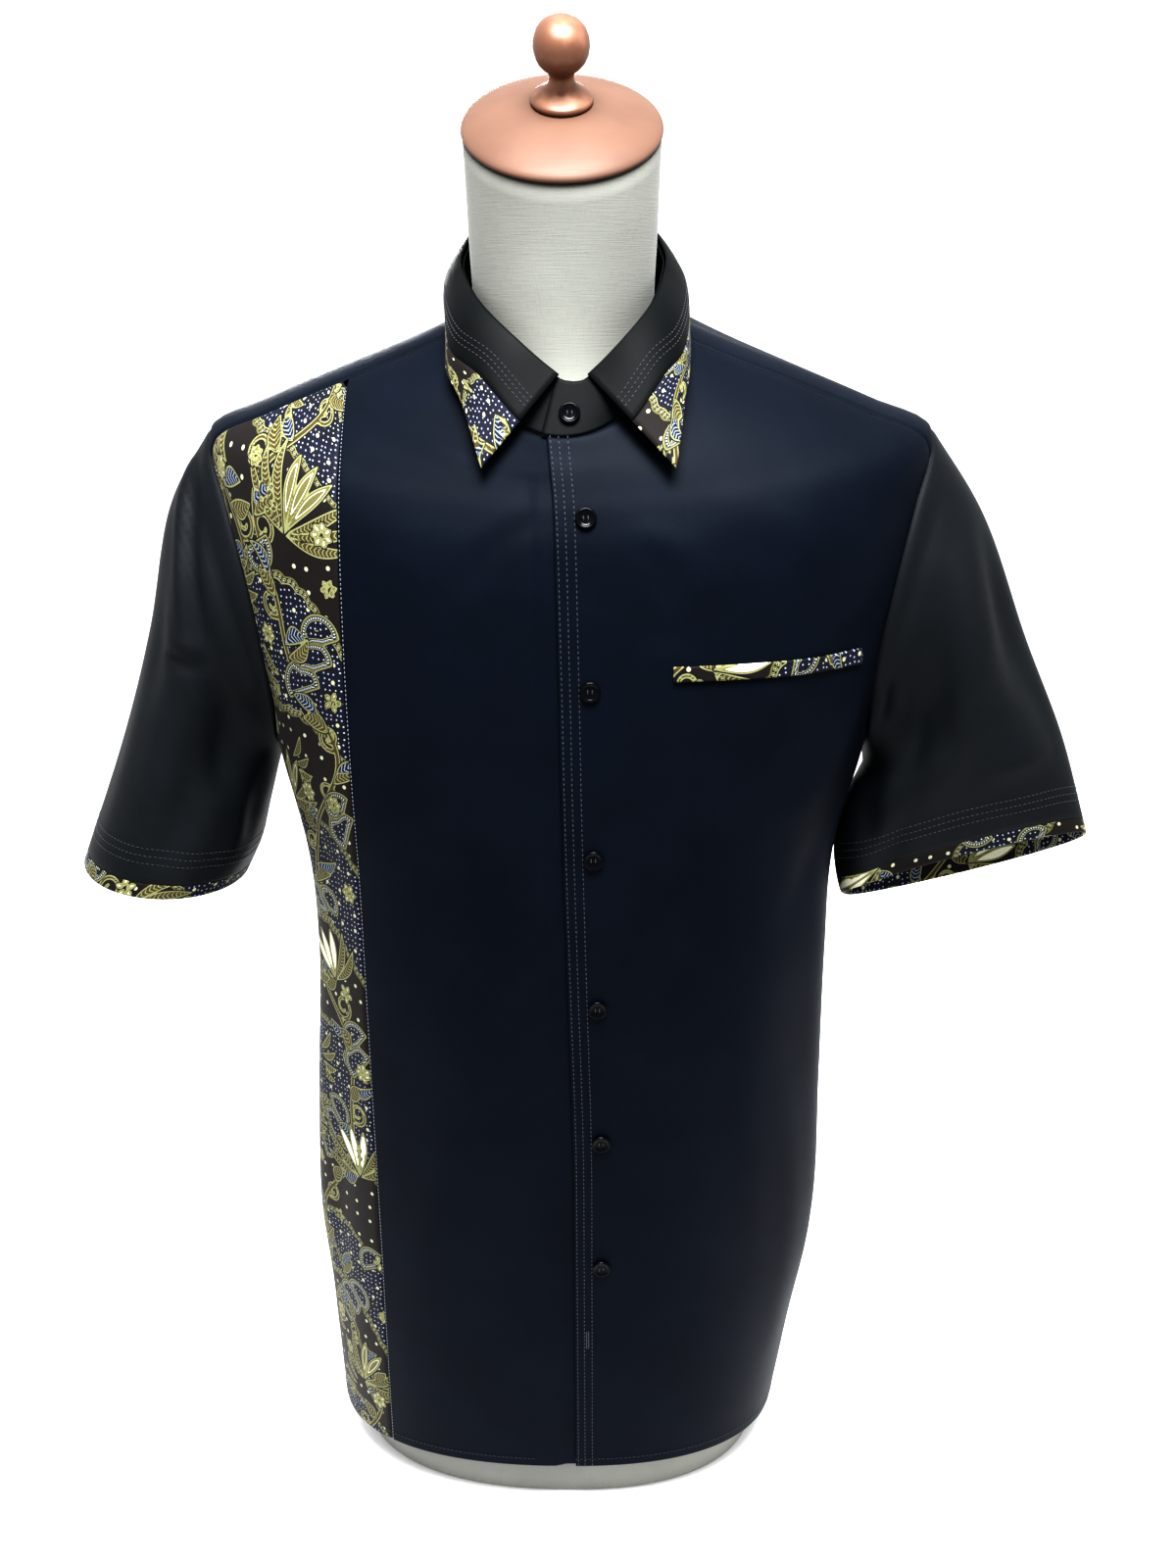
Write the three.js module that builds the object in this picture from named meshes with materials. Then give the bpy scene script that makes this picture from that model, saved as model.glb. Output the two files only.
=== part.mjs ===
// A man's short-sleeved shirt in navy cotton and batik, worn by a limbless dress form.
// Millimetres, +Z up. The shirt faces -Y and the wearer's left is +X. The form's flat base stands on Z = 0.
// The cloth's outer side is one surface, body(phi, level): phi runs round from the centre front towards the
// wearer's left, level runs up the side seam from the hem and then in along the shoulder to the neck. Each
// panel is a piece of that surface with a wall behind it.
import * as THREE from 'three';

const { abs, acos, asin, cos, max, min, sign, sin, PI } = Math;
const DEG = PI / 180;

// ---------- driving dimensions ----------
const CLOTH = 1.6; // wall of the body and the sleeves
const COLLAR_CLOTH = 1.4; // wall of the collar
const SEAM = 0.3; // space between two pieces at a seam
const NECK_LEVEL = 887;
const YOKE_FRONT = 75 * DEG; // where the front yoke seam runs, 30 mm forward of the shoulder's ridge
const YOKE_BACK_LEVEL = 706;
const YOKE_NECK_BACK = 105 * DEG; // where the yoke's back corner meets the neck
const ARMHOLE = { middle: 627, half: 97, front: 25 * DEG, back: 24 * DEG, squareness: 0.8 };
const OVERLAP = 17; // left front's edge to its line of buttons
const UNDERLAP = 14; // line of buttons to the right front's hidden edge
const STEP_UNDER = { from: -16, low: -5, on: 6 }; // the right front's step down, from the left front's edge
const BATIK_SEAM_X = -128; // side-front seam, as far from the middle all the way down
const SLEEVE_BAND = 10; // height of the batik band round a sleeve
const SLEEVE_FACING = 26; // how far the band is turned up inside
const FACING_CLOTH = 1.2;
const WELT = { fromX: 57, toX: 167, level: 598, height: 10, cloth: 1.4 };
const BUTTON = { radius: 5.8, rim: 2.6, dish: 1.7 };
const COLUMNS = { left: 10, right: 5, batik: 5, back: 14, form: 32 };

// Rows of numbers with a name for each column.
function table(columns, ...rows) {
  const names = columns.trim().split(/\s+/);
  return rows.map((row) => Object.fromEntries(names.map((name, i) => [name, row[i]])));
}

// Rings of the shirt's body: heights at the front, side and back, half widths to the wearer's right and left,
// depths to the front and back, how square the ring is (2 is an ellipse) and its middle's X.
const BODY = table(
  'level zFront zSide zBack right left front back square shift',
  [35, 40, 27, 31, 171, 147, 113, 104, 2.3, 0],
  [110, 110, 108, 108, 174, 158, 114, 105, 2.3, 0],
  [205, 205, 205, 205, 176, 168, 115, 106, 2.3, 0],
  [300, 301, 300, 300, 172, 167, 119, 105, 2.3, 0],
  [397, 397, 397, 397, 166, 166, 124, 103, 2.3, 0],
  [470, 470, 470, 470, 169, 168, 124, 105, 2.3, 0],
  [530, 530, 530, 532, 183, 183, 123, 109, 2.4, 0],
  [580, 585, 582, 588, 192, 192, 120, 112, 2.5, 0],
  [640, 632, 640, 650, 205, 205, 116, 108, 2.35, 0],
  [690, 667, 688, 700, 213, 213, 112, 102, 2.15, 0],
  [724, 685, 721, 726, 214, 214, 107, 97, 1.95, 0],
  [760, 697, 736, 748, 182, 182, 102, 91, 1.95, -1],
  [810, 708, 755, 772, 135, 135, 97, 83, 2, -2],
  [850, 717, 769, 790, 98, 98, 92, 76, 2.05, -3],
  [887, 725, 783, 806, 64, 64, 88, 70, 2.1, -4],
);

// Line of the front buttons, and the six buttons on it.
const PLACKET = table(
  'level x',
  [35, 19], [205, 18.5], [300, 18], [397, 15.5], [493, 13], [590, 11], [711, 9], [887, 5],
);
const BUTTON_LEVELS = [722, 587, 493, 397, 300, 205];

// Soft folds that fall down the body: where they run, how wide and how high they are.
const BODY_FOLDS = table(
  'phi lean width rise from to',
  [-72, 4, 9, 3.5, 120, 560],
  [70, -5, 9, 3.5, 90, 560],
  [108, 6, 10, 4, 60, 600],
  [-112, -6, 11, 4.5, 40, 620],
  [148, 8, 11, 4, 60, 560],
  [-150, -5, 12, 4, 80, 600],
  [38, -9, 12, 1.8, 180, 480],
);

// Rings of the sleeves below the armhole: the ring's middle, its half width in the slanting direction from the
// inside to the outside of the arm, its half depth from front to back, that slant, and how far the back dips.
const SLEEVES = {
  left: table(
    'x y z wide deep slant dip',
    [218.5, -2, 590, 84, 50, 68, 0],
    [234, -5, 541, 71, 45, 49, 5],
    [246, -8, 493, 74, 39, 31, 20],
    [256, -10, 442, 80, 34, 15, 35],
  ),
  right: table(
    'x y z wide deep slant dip',
    [215, 0, 594, 86, 53, 72, 0],
    [229, 1, 543, 68, 58, 62, 0],
    [245, 1, 493, 55, 65, 44, 2],
    [267, 0, 440, 51, 71, 10, 4],
  ),
};

// Folds of the sleeves: the angle round the sleeve (0 top, 90 front, 180 underarm), how it drifts on the way
// down, the fold's width and depth, and the stretch of the sleeve that it runs along.
const SLEEVE_FOLDS = {
  left: table(
    'angle drift width rise from to',
    [112, 6, 17, -9, 0.04, 0.62],
    [74, -12, 20, 5, 0.1, 1.02],
    [36, -6, 15, -4, 0.15, 0.85],
    [150, -12, 16, 5, 0.3, 1.02],
    [126, 8, 9, -6, 0.62, 1.05],
    [250, 14, 17, -6, 0.05, 0.75],
    [292, -10, 20, 4, 0.2, 1.0],
  ),
  right: table(
    'angle drift width rise from to',
    [122, -14, 17, -8, 0.04, 0.7],
    [84, -16, 19, 5, 0.1, 0.95],
    [48, 0, 14, -5, 0.2, 0.72],
    [140, 6, 14, 4, 0.45, 1.02],
    [246, 12, 17, -7, 0.05, 0.75],
    [290, -8, 20, 4, 0.2, 1.0],
  ),
};

// The collar from the centre front (phi 0) to the centre back (180), for both sides: its fold at the top and
// its outer edge, each with the X of its middle, how far the cloth bellies out between them, and the part of
// the way down at which the batik band begins. The last row only carries the curve on past the centre back.
const COLLAR = table(
  'phi foldMid foldX foldY foldZ edgeMid edgeX edgeY edgeZ belly band',
  [0, 3, 0, -78, 755, 5, 49, -108, 700, 0.5, 0.46],
  [8, 2, 8, -77, 757, 5, 52, -104, 711, 1, 0.5],
  [30, 0, 31, -70, 777, 2, 60.5, -79, 742, 3, 0.6],
  [52, -2, 48, -50, 794, -1, 67, -60, 757, 5, 0.72],
  [78, -4, 58, -14, 810, -1, 69, -26, 776, 6, 0.76],
  [92, -4, 59, 8, 819, -2, 69, 4, 787, 6, 0.76],
  [122, -4, 50, 40, 834, -4, 64, 42, 794, 5, 0.75],
  [150, -4, 29, 60, 842, -4, 38, 70, 797, 4, 0.75],
  [180, -4, 0, 68, 845, -4, 0, 81, 798, 4, 0.75],
  [210, -4, -29, 60, 842, -4, -38, 70, 797, 4, 0.75],
);
const LEAF_START = 8; // phi of a leaf's front edge
const COLLAR_WIDTH = 45;
const STAND = { under: 13, over: -9, step: 2.0, drop: 2.8, inset: 1.3 };

// The dress form: how far it stays inside the shirt's outer side, and the rings of its neck.
const FORM_EASE = table(
  'level ease',
  [35, 18], [205, 20], [397, 14], [530, 11], [640, 8], [700, 9], [724, 10], [775, 6], [850, 5.5], [887, 7],
);
const FORM_LEVELS = [60, 110, 205, 300, 397, 470, 530, 580, 640, 690, 716, 736, 760, 810, 850, 887];
const NECK = table(
  'y z wide deep tilt',
  [-6, 786, 52.5, 67, 27],
  [-17, 832, 53, 60, 29],
  [-28, 879, 54, 58, 30],
);
const NECK_X = -4;

// ---------- smooth curves through a table ----------
// All columns of a table at one value of its first column, on a smooth curve through the rows.
function between(rows, at) {
  const key = Object.keys(rows[0])[0];
  const last = rows.length - 1;
  let i = rows.findIndex((row) => row[key] > at) - 1;
  if (i < 0) i = at < rows[0][key] ? 0 : last - 1;
  const [before, a, b, after] = [rows[max(i - 1, 0)], rows[i], rows[i + 1], rows[min(i + 2, last)]];
  const span = b[key] - a[key];
  const result = {};
  for (const name of Object.keys(a)) {
    const slopeA = ((b[name] - before[name]) / (b[key] - before[key])) * span;
    const slopeB = ((after[name] - a[name]) / (after[key] - a[key])) * span;
    result[name] = hermite(a[name], b[name], slopeA, slopeB, (at - a[key]) / span);
  }
  return result;
}

function hermite(a, b, slopeA, slopeB, t) {
  const rise = t * t * (3 - 2 * t);
  return a * (1 - rise) + b * rise + slopeA * t * (1 - t) ** 2 - slopeB * t * t * (1 - t);
}

const mix = (a, b, t) => a + (b - a) * t;
const clamp = (value, low, high) => min(max(value, low), high);
const smooth = (t) => clamp(t, 0, 1) ** 2 * (3 - 2 * clamp(t, 0, 1));
const steps = (count) => Array.from({ length: count + 1 }, (_, i) => i / count);

// A soft fold: a bell across its width that swells and dies away between its two ends.
function foldHeight(fold, across, along, fade) {
  const bell = Math.exp(-((across / fold.width) ** 2));
  return fold.rise * bell * smooth((along - fold.from) / fade) * smooth((fold.to - along) / fade);
}

// The outward normal of a surface(u, v) whose u x v faces out.
function normalOf(surface, u, v, du, dv) {
  const along = surface(u + du, v).sub(surface(u - du, v));
  const up = surface(u, v + dv).sub(surface(u, v - dv));
  return along.cross(up).normalize();
}

// ---------- the body's surface ----------
function plainBody(phi, level) {
  const ring = between(BODY, level);
  const [s, c] = [sin(phi), cos(phi)];
  const half = s < 0 ? ring.right : ring.left;
  const deep = c > 0 ? ring.front : ring.back;
  const zEnd = c > 0 ? ring.zFront : ring.zBack;
  return new THREE.Vector3(
    ring.shift + sign(s) * half * abs(s) ** (2 / ring.square),
    -sign(c) * deep * abs(c) ** (2 / ring.square),
    mix(ring.zSide, zEnd, abs(c) ** 1.5),
  );
}

function bodyNormal(phi, level) {
  return normalOf(plainBody, phi, level, 0.01, 2);
}

// A place on the body, with its folds, moved out by some millimetres.
function body(phi, level, out = 0) {
  let height = out;
  for (const fold of BODY_FOLDS) {
    const middle = fold.phi + fold.lean * ((level - 300) / 300);
    const across = ((phi / DEG - middle + 540) % 360) - 180;
    height += foldHeight(fold, across, level, 90);
  }
  return plainBody(phi, level).addScaledVector(bodyNormal(phi, level), height);
}

// phi of the place on a level's ring that lies at X.
function phiAtX(level, x) {
  const ring = between(BODY, level);
  const half = x < ring.shift ? ring.right : ring.left;
  const part = clamp((x - ring.shift) / half, -1, 1);
  return sign(part) * asin(abs(part) ** (ring.square / 2));
}

// The same place moved along the surface by millimetres, round the body and up it.
function nudge(phi, level, round, up) {
  const perPhi = plainBody(phi + 0.01, level).distanceTo(plainBody(phi - 0.01, level)) / 0.02;
  const perLevel = plainBody(phi, level + 1).distanceTo(plainBody(phi, level - 1)) / 2;
  return { phi: phi + round / perPhi, level: level + up / perLevel };
}

// ---------- armholes and sleeves ----------
// The armhole at an angle round it: 0 is its top, 90 the front, 180 the underarm. side is 1 for the wearer's
// left and -1 for the right.
function armhole(side, psi) {
  const reach = sin(psi) > 0 ? ARMHOLE.front : -ARMHOLE.back;
  const phi = 90 * DEG - reach * abs(sin(psi)) ** ARMHOLE.squareness;
  return { phi: side * phi, level: ARMHOLE.middle + ARMHOLE.half * cos(psi) };
}

const YOKE_FRONT_PSI = asin(((90 * DEG - YOKE_FRONT) / ARMHOLE.front) ** (1 / ARMHOLE.squareness));
const YOKE_BACK_PSI = acos((YOKE_BACK_LEVEL - ARMHOLE.middle) / ARMHOLE.half);
const FRONT_PSI = steps(10).map((t) => mix(PI, YOKE_FRONT_PSI, t)); // from the underarm up to the yoke
const BACK_PSI = steps(10).map((t) => -mix(PI, YOKE_BACK_PSI, t));
// Once round the armhole, from its top down the front and up the back.
const SLEEVE_PSI = [
  0, YOKE_FRONT_PSI / 2, ...FRONT_PSI.toReversed(),
  ...BACK_PSI.slice(1).map((psi) => 2 * PI + psi), 2 * PI - YOKE_BACK_PSI / 2,
];

function sleeveRing(side, row, psi) {
  const [slant, dip] = [row.slant * DEG, row.dip * DEG];
  const [across, depth] = [row.wide * cos(psi), row.deep * sin(psi)];
  return new THREE.Vector3(
    side * (row.x + across * cos(slant)),
    row.y - depth * cos(dip),
    row.z + across * sin(slant) + depth * sin(dip),
  );
}

// The sleeve's outer side, from the armhole (t = 0) to its end (t = 1), first without folds.
function plainSleeve(side, psi, t) {
  const rows = side > 0 ? SLEEVES.left : SLEEVES.right;
  const edge = armhole(side, psi);
  const stations = [body(edge.phi, edge.level), ...rows.map((row) => sleeveRing(side, row, psi))];
  const last = stations.length - 1;
  const i = clamp(Math.floor(t * last), 0, last - 1);
  const [before, a, b, after] = [i - 1, i, i + 1, i + 2].map((k) => stations[clamp(k, 0, last)]);
  const slopeA = b.clone().sub(before).multiplyScalar(i > 0 ? 0.5 : 1);
  const slopeB = after.clone().sub(a).multiplyScalar(i < last - 1 ? 0.5 : 1);
  const along = (axis) => hermite(a[axis], b[axis], slopeA[axis], slopeB[axis], t * last - i);
  return new THREE.Vector3(along('x'), along('y'), along('z'));
}

function sleeveNormal(side, psi, t) {
  const surface = (u, v) => plainSleeve(side, u, v);
  return normalOf(surface, psi, clamp(t, 0.02, 0.98), 0.03, 0.02).multiplyScalar(side);
}

function sleeve(side, psi, t) {
  let height = 0;
  for (const fold of side > 0 ? SLEEVE_FOLDS.left : SLEEVE_FOLDS.right) {
    const across = ((psi / DEG - fold.angle - fold.drift * t + 540) % 360) - 180;
    height += foldHeight(fold, across, t, 0.3) * smooth(t / 0.15);
  }
  return plainSleeve(side, psi, t).addScaledVector(sleeveNormal(side, psi, t), height);
}

// Both walls that meet at the armhole end on the same mitre: the way from the seam's outer line to its inner.
function armholeMitre(side, psi) {
  const edge = armhole(side, psi);
  const sum = bodyNormal(edge.phi, edge.level).add(sleeveNormal(side, psi, 0));
  const stretch = min(2 / sum.length(), 1.7);
  return sum.normalize().multiplyScalar(-CLOTH * stretch);
}

// ---------- solids ----------
function solid(name, points, faces, material) {
  const corners = (face) => face.map((i) => points[i]);
  const volume = faces.reduce((sum, face) => {
    const [a, b, c] = corners(face);
    return sum + a.dot(b.clone().cross(c));
  }, 0);
  const geometry = new THREE.BufferGeometry();
  geometry.setAttribute('position', new THREE.Float32BufferAttribute(points.flatMap((p) => p.toArray()), 3));
  geometry.setIndex(faces.flatMap(([a, b, c]) => (volume > 0 ? [a, b, c] : [a, c, b])));
  geometry.computeVertexNormals();
  const mesh = new THREE.Mesh(geometry, material.clone());
  mesh.name = name;
  shirt.add(mesh);
  return mesh;
}

const quad = (a, b, c, d) => [[a, b, c], [a, c, d]];

// A sheet with a wall: two grids of points, the outer and the inner side, closed along the edges.
function wall(name, outer, inner, material, loop = false) {
  const [rows, columns] = [outer.length, outer[0].length];
  const at = (side, r, c) => (side * rows + r) * columns + (c % columns);
  const lastRow = rows - 1;
  const lastColumn = loop ? columns : columns - 1;
  const faces = [];
  for (let c = 0; c < lastColumn; c += 1) {
    for (let r = 0; r < lastRow; r += 1) {
      faces.push(...quad(at(0, r, c), at(0, r, c + 1), at(0, r + 1, c + 1), at(0, r + 1, c)));
      faces.push(...quad(at(1, r, c), at(1, r + 1, c), at(1, r + 1, c + 1), at(1, r, c + 1)));
    }
    faces.push(...quad(at(1, 0, c), at(1, 0, c + 1), at(0, 0, c + 1), at(0, 0, c)));
    faces.push(...quad(at(0, lastRow, c), at(0, lastRow, c + 1), at(1, lastRow, c + 1), at(1, lastRow, c)));
  }
  for (let r = 0; r < lastRow && !loop; r += 1) {
    faces.push(...quad(at(0, r, 0), at(0, r + 1, 0), at(1, r + 1, 0), at(1, r, 0)));
    const [innerEnd, outerEnd] = [(k) => at(1, k, lastColumn), (k) => at(0, k, lastColumn)];
    faces.push(...quad(innerEnd(r), innerEnd(r + 1), outerEnd(r + 1), outerEnd(r)));
  }
  return solid(name, [...outer, ...inner].flat(), faces, material);
}

// Rings of points joined into a closed body: a ring round a hollow when they loop, or else with ends.
function loft(name, rings, material, loop = false) {
  const [count, size] = [rings.length, rings[0].length];
  const at = (r, c) => (r % count) * size + (c % size);
  const points = rings.flat();
  const faces = [];
  for (let r = 0; r < (loop ? count : count - 1); r += 1) {
    for (let c = 0; c < size; c += 1) {
      faces.push(...quad(at(r, c), at(r, c + 1), at(r + 1, c + 1), at(r + 1, c)));
    }
  }
  for (const end of loop ? [] : [0, count - 1]) {
    const middle = rings[end].reduce((sum, p) => sum.add(p), new THREE.Vector3()).divideScalar(size);
    points.push(middle);
    for (let c = 0; c < size; c += 1) {
      const [a, b] = [at(end, c), at(end, c + 1)];
      faces.push(end ? [a, b, points.length - 1] : [b, a, points.length - 1]);
    }
  }
  return solid(name, points, faces, material);
}

// A turned piece, from its profile of [radius, height] pairs, set on a point with its axis along a direction.
function turned(name, profile, sides, place, axis, material, depthScale = 1) {
  const rings = profile.map(([radius, height]) => Array.from({ length: sides }, (_, i) => {
    const angle = (i / sides) * 2 * PI;
    return new THREE.Vector3(radius * cos(angle), radius * sin(angle) * depthScale, height);
  }));
  const turn = new THREE.Quaternion().setFromUnitVectors(new THREE.Vector3(0, 0, 1), axis);
  for (const point of rings.flat()) point.applyQuaternion(turn).add(place);
  return loft(name, rings, material);
}

const cloth = (color, roughness) => new THREE.MeshStandardMaterial({ color, roughness, side: THREE.DoubleSide });
const NAVY = cloth(0x14161f, 0.8);
const BATIK = cloth(0x4a4836, 0.8);
const BUTTON_PLASTIC = cloth(0x10131f, 0.25);
const LINEN = cloth(0xb9b6b0, 0.9);
const ROSE_GOLD = new THREE.MeshStandardMaterial({ color: 0xc79a86, roughness: 0.3, metalness: 1 });
const DARK_METAL = new THREE.MeshStandardMaterial({ color: 0x2c2624, roughness: 0.4, metalness: 1 });

const shirt = new THREE.Group();

// ---------- body panels ----------
// Levels that every panel shares: below the underarm, and along the front yoke seam.
const LOW_LEVELS = [35, 70, 110, 157, 205, 252, 300, 348, 397, 440, 485];
const YOKE_SEAM_LEVELS = [735, 762, 787];
const FRONT_ARM_LEVELS = FRONT_PSI.map((psi) => armhole(1, psi).level);
const BATIK_TOP_LEVEL = batikTopLevel();
const BATIK_TIP_LEVEL = BATIK_TOP_LEVEL - 2.5; // the batik panel's narrow top is cut off here
const UPPER_LEVELS = [...YOKE_SEAM_LEVELS, BATIK_TIP_LEVEL, BATIK_TOP_LEVEL, 836, 862, NECK_LEVEL];
const FRONT_LEVELS = [...LOW_LEVELS, ...FRONT_ARM_LEVELS, ...UPPER_LEVELS];

// The level at which the side-front seam meets the front yoke seam.
function batikTopLevel() {
  let [low, high] = [YOKE_BACK_LEVEL, NECK_LEVEL];
  for (let i = 0; i < 30; i += 1) {
    const level = (low + high) / 2;
    if (abs(phiAtX(level, BATIK_SEAM_X)) < YOKE_FRONT) low = level;
    else high = level;
  }
  return low;
}

// Where a front or back panel ends at the side: the side seam, then the armhole, then the yoke seam. A place
// on the armhole carries the mitre that its wall follows.
function sideEnd(side, level, row, psis) {
  const rowOnArm = row - LOW_LEVELS.length;
  const inwards = ((psis === FRONT_PSI ? -side : side) * SEAM) / 2;
  if (rowOnArm < 0) return nudge(side * 90 * DEG, level, inwards, 0);
  if (rowOnArm >= psis.length) return nudge(side * YOKE_FRONT, level, (-side * SEAM) / 2, 0);
  const place = armhole(side, psis[rowOnArm]);
  const atEnd = rowOnArm === 0 || rowOnArm === psis.length - 1;
  const shifted = atEnd ? nudge(place.phi, place.level, inwards, 0) : place;
  return { ...shifted, mitre: armholeMitre(side, psis[rowOnArm]) };
}

// A panel from its grid of places on the body.
function panel(name, grid, material) {
  const point = (depth) => ({ phi, level, mitre, sink = 0 }) => {
    const outer = body(phi, level, -sink);
    if (!depth) return outer;
    return mitre ? outer.add(mitre) : outer.addScaledVector(bodyNormal(phi, level), -depth);
  };
  wall(name, grid.map((row) => row.map(point(0))), grid.map((row) => row.map(point(CLOTH))), material);
}

// Places spread evenly from one to another.
function spread(from, to, count) {
  return steps(count).map((t) => {
    if (t === 0) return from;
    if (t === 1) return to;
    return { phi: mix(from.phi, to.phi, t), level: mix(from.level, to.level, t) };
  });
}

const placketX = (level) => between(PLACKET, level).x;
// The top row of the fronts stops just under the neckband.
function belowNeck(place) {
  return place.level < NECK_LEVEL - 1 ? place : { ...place, ...nudge(place.phi, NECK_LEVEL, 0, -SEAM) };
}

function frontLeft() {
  const grid = FRONT_LEVELS.map((level, row) => {
    const edge = { phi: phiAtX(level, placketX(level) - OVERLAP), level };
    return spread(edge, sideEnd(1, level, row, FRONT_PSI), COLUMNS.left).map(belowNeck);
  });
  panel('front_left', grid, NAVY);
}

// The right front runs on under the left one, sunk by the left one's thickness.
function frontRight() {
  const sunk = CLOTH + 2 * SEAM;
  const grid = FRONT_LEVELS.map((level) => {
    const seam = level < BATIK_TOP_LEVEL ? phiAtX(level, BATIK_SEAM_X) : -YOKE_FRONT;
    const overEdge = placketX(level) - OVERLAP;
    const at = (x, sink) => ({ phi: phiAtX(level, x), level, sink });
    const free = spread(nudge(seam, level, SEAM / 2, 0), at(overEdge + STEP_UNDER.from, 0), COLUMNS.right);
    const hidden = [overEdge + STEP_UNDER.low, overEdge + STEP_UNDER.on, placketX(level) + UNDERLAP]
      .map((x) => at(x, sunk));
    return [...free, ...hidden].map(belowNeck);
  });
  panel('front_right', grid, NAVY);
}

// The batik panel narrows to a point where its seam meets the yoke seam.
function sideFrontRight() {
  const levels = FRONT_LEVELS.filter((level) => level < BATIK_TOP_LEVEL);
  const grid = levels.map((level, row) => {
    const seam = nudge(phiAtX(level, BATIK_SEAM_X), level, -SEAM / 2, 0);
    return spread(sideEnd(-1, level, row, FRONT_PSI), seam, COLUMNS.batik);
  });
  panel('side_front_right', grid, BATIK);
}

function back() {
  const levels = [...LOW_LEVELS, ...BACK_PSI.map((psi) => armhole(1, psi).level)];
  const grid = levels.map((level, row) => {
    const left = sideEnd(1, level, row, BACK_PSI);
    const right = sideEnd(-1, level, row, BACK_PSI);
    const places = spread(left, { ...right, phi: right.phi + 2 * PI }, COLUMNS.back);
    return places.map((place) => (row < levels.length - 1 ? place : lowered(place)));
  });
  panel('back', grid, NAVY);
}

// A place on the back yoke seam, moved down to leave the seam's space.
function lowered(place) {
  return { ...place, ...nudge(place.phi, place.level, 0, -SEAM) };
}

// The yoke: from the outer edge (front seam's end, over the armhole's top, along the back seam) in to the neck.
function yoke() {
  const overArm = [YOKE_FRONT_PSI, YOKE_FRONT_PSI / 2, 0, -YOKE_BACK_PSI / 2, -YOKE_BACK_PSI];
  const leftArm = overArm.map((psi, i) => {
    const place = { ...armhole(1, psi), mitre: armholeMitre(1, psi) };
    return { outer: place, neck: mix(YOKE_FRONT, YOKE_NECK_BACK, i / 4) };
  });
  const rightArm = leftArm.toReversed().map(({ outer, neck }, i) => ({
    outer: { phi: 2 * PI - outer.phi, level: outer.level, mitre: armholeMitre(-1, overArm[4 - i]) },
    neck: 2 * PI - neck,
  }));
  const [from, to] = [leftArm.at(-1), rightArm[0]];
  const seam = steps(COLUMNS.back).slice(1, -1).map((t) => ({
    outer: { phi: mix(from.outer.phi, to.outer.phi, t), level: YOKE_BACK_LEVEL },
    neck: mix(from.neck, to.neck, t),
  }));
  const columns = [...leftArm, ...seam, ...rightArm];
  const cornerLevel = columns[0].outer.level;
  const seamLevels = [cornerLevel, ...UPPER_LEVELS];
  const grid = seamLevels.map((seamLevel) => {
    const part = (seamLevel - cornerLevel) / (NECK_LEVEL - cornerLevel);
    return columns.map(({ outer, neck }, c) => {
      if (part === 0 && c > 0 && c < columns.length - 1) return outer;
      const place = { phi: mix(outer.phi, neck, part), level: mix(outer.level, NECK_LEVEL, part) };
      const round = c === 0 ? SEAM / 2 : c === columns.length - 1 ? -SEAM / 2 : 0;
      const up = part === 1 ? -SEAM : 0;
      return { ...(part === 0 ? outer : {}), ...nudge(place.phi, place.level, round, up) };
    });
  });
  panel('yoke', grid, NAVY);
}

// ---------- sleeves ----------
// How far down the sleeve, as a part of it, lies the place some millimetres above its end.
function aboveEnd(side, psi, distance) {
  const perPart = plainSleeve(side, psi, 1).distanceTo(plainSleeve(side, psi, 0.96)) / 0.04;
  return 1 - distance / perPart;
}

function sleeveWall(side) {
  const psis = side > 0 ? SLEEVE_PSI : SLEEVE_PSI.toReversed();
  const upper = steps(10).map((part) => (psi) => part * aboveEnd(side, psi, SLEEVE_FACING));
  const parts = [...upper, (psi) => aboveEnd(side, psi, SLEEVE_BAND + 4 * SEAM)];
  const outerPoint = ({ psi, t }) => (t > 0 ? sleeve(side, psi, t) : armholeStart(side, psi));
  const innerPoint = ({ psi, t }) => {
    if (t === 0) return armholeStart(side, psi).add(armholeMitre(side, psi));
    return sleeve(side, psi, t).addScaledVector(sleeveNormal(side, psi, t), -CLOTH);
  };
  const grid = parts.map((part) => psis.map((psi) => ({ psi, t: part(psi) })));
  const name = side > 0 ? 'sleeve_left' : 'sleeve_right';
  wall(name, grid.map((row) => row.map(outerPoint)), grid.map((row) => row.map(innerPoint)), NAVY, true);
}

// The sleeve's first line, two seams' space outside the armhole and square to the mitre.
function armholeStart(side, psi) {
  const at = (angle) => {
    const edge = armhole(side, angle);
    return body(edge.phi, edge.level);
  };
  const along = at(psi + 0.05).sub(at(psi - 0.05));
  const away = along.cross(armholeMitre(side, psi)).normalize().multiplyScalar(side);
  return at(psi).addScaledVector(away, 2 * SEAM);
}

// The band: folded over the sleeve's end, low outside and higher inside.
function sleeveBand(side) {
  const inside = CLOTH + 3 * SEAM;
  const corners = [
    [SLEEVE_BAND, 0], [0, 0], [0, inside + FACING_CLOTH],
    [SLEEVE_FACING, inside + FACING_CLOTH], [SLEEVE_FACING, inside], [SLEEVE_BAND, inside],
  ];
  const rings = SLEEVE_PSI.map((psi) => corners.map(([up, depth]) => {
    const t = aboveEnd(side, psi, up);
    return sleeve(side, psi, t).addScaledVector(sleeveNormal(side, psi, t), -depth);
  }));
  loft(side > 0 ? 'sleeve_band_left' : 'sleeve_band_right', rings, BATIK, true);
}

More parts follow.
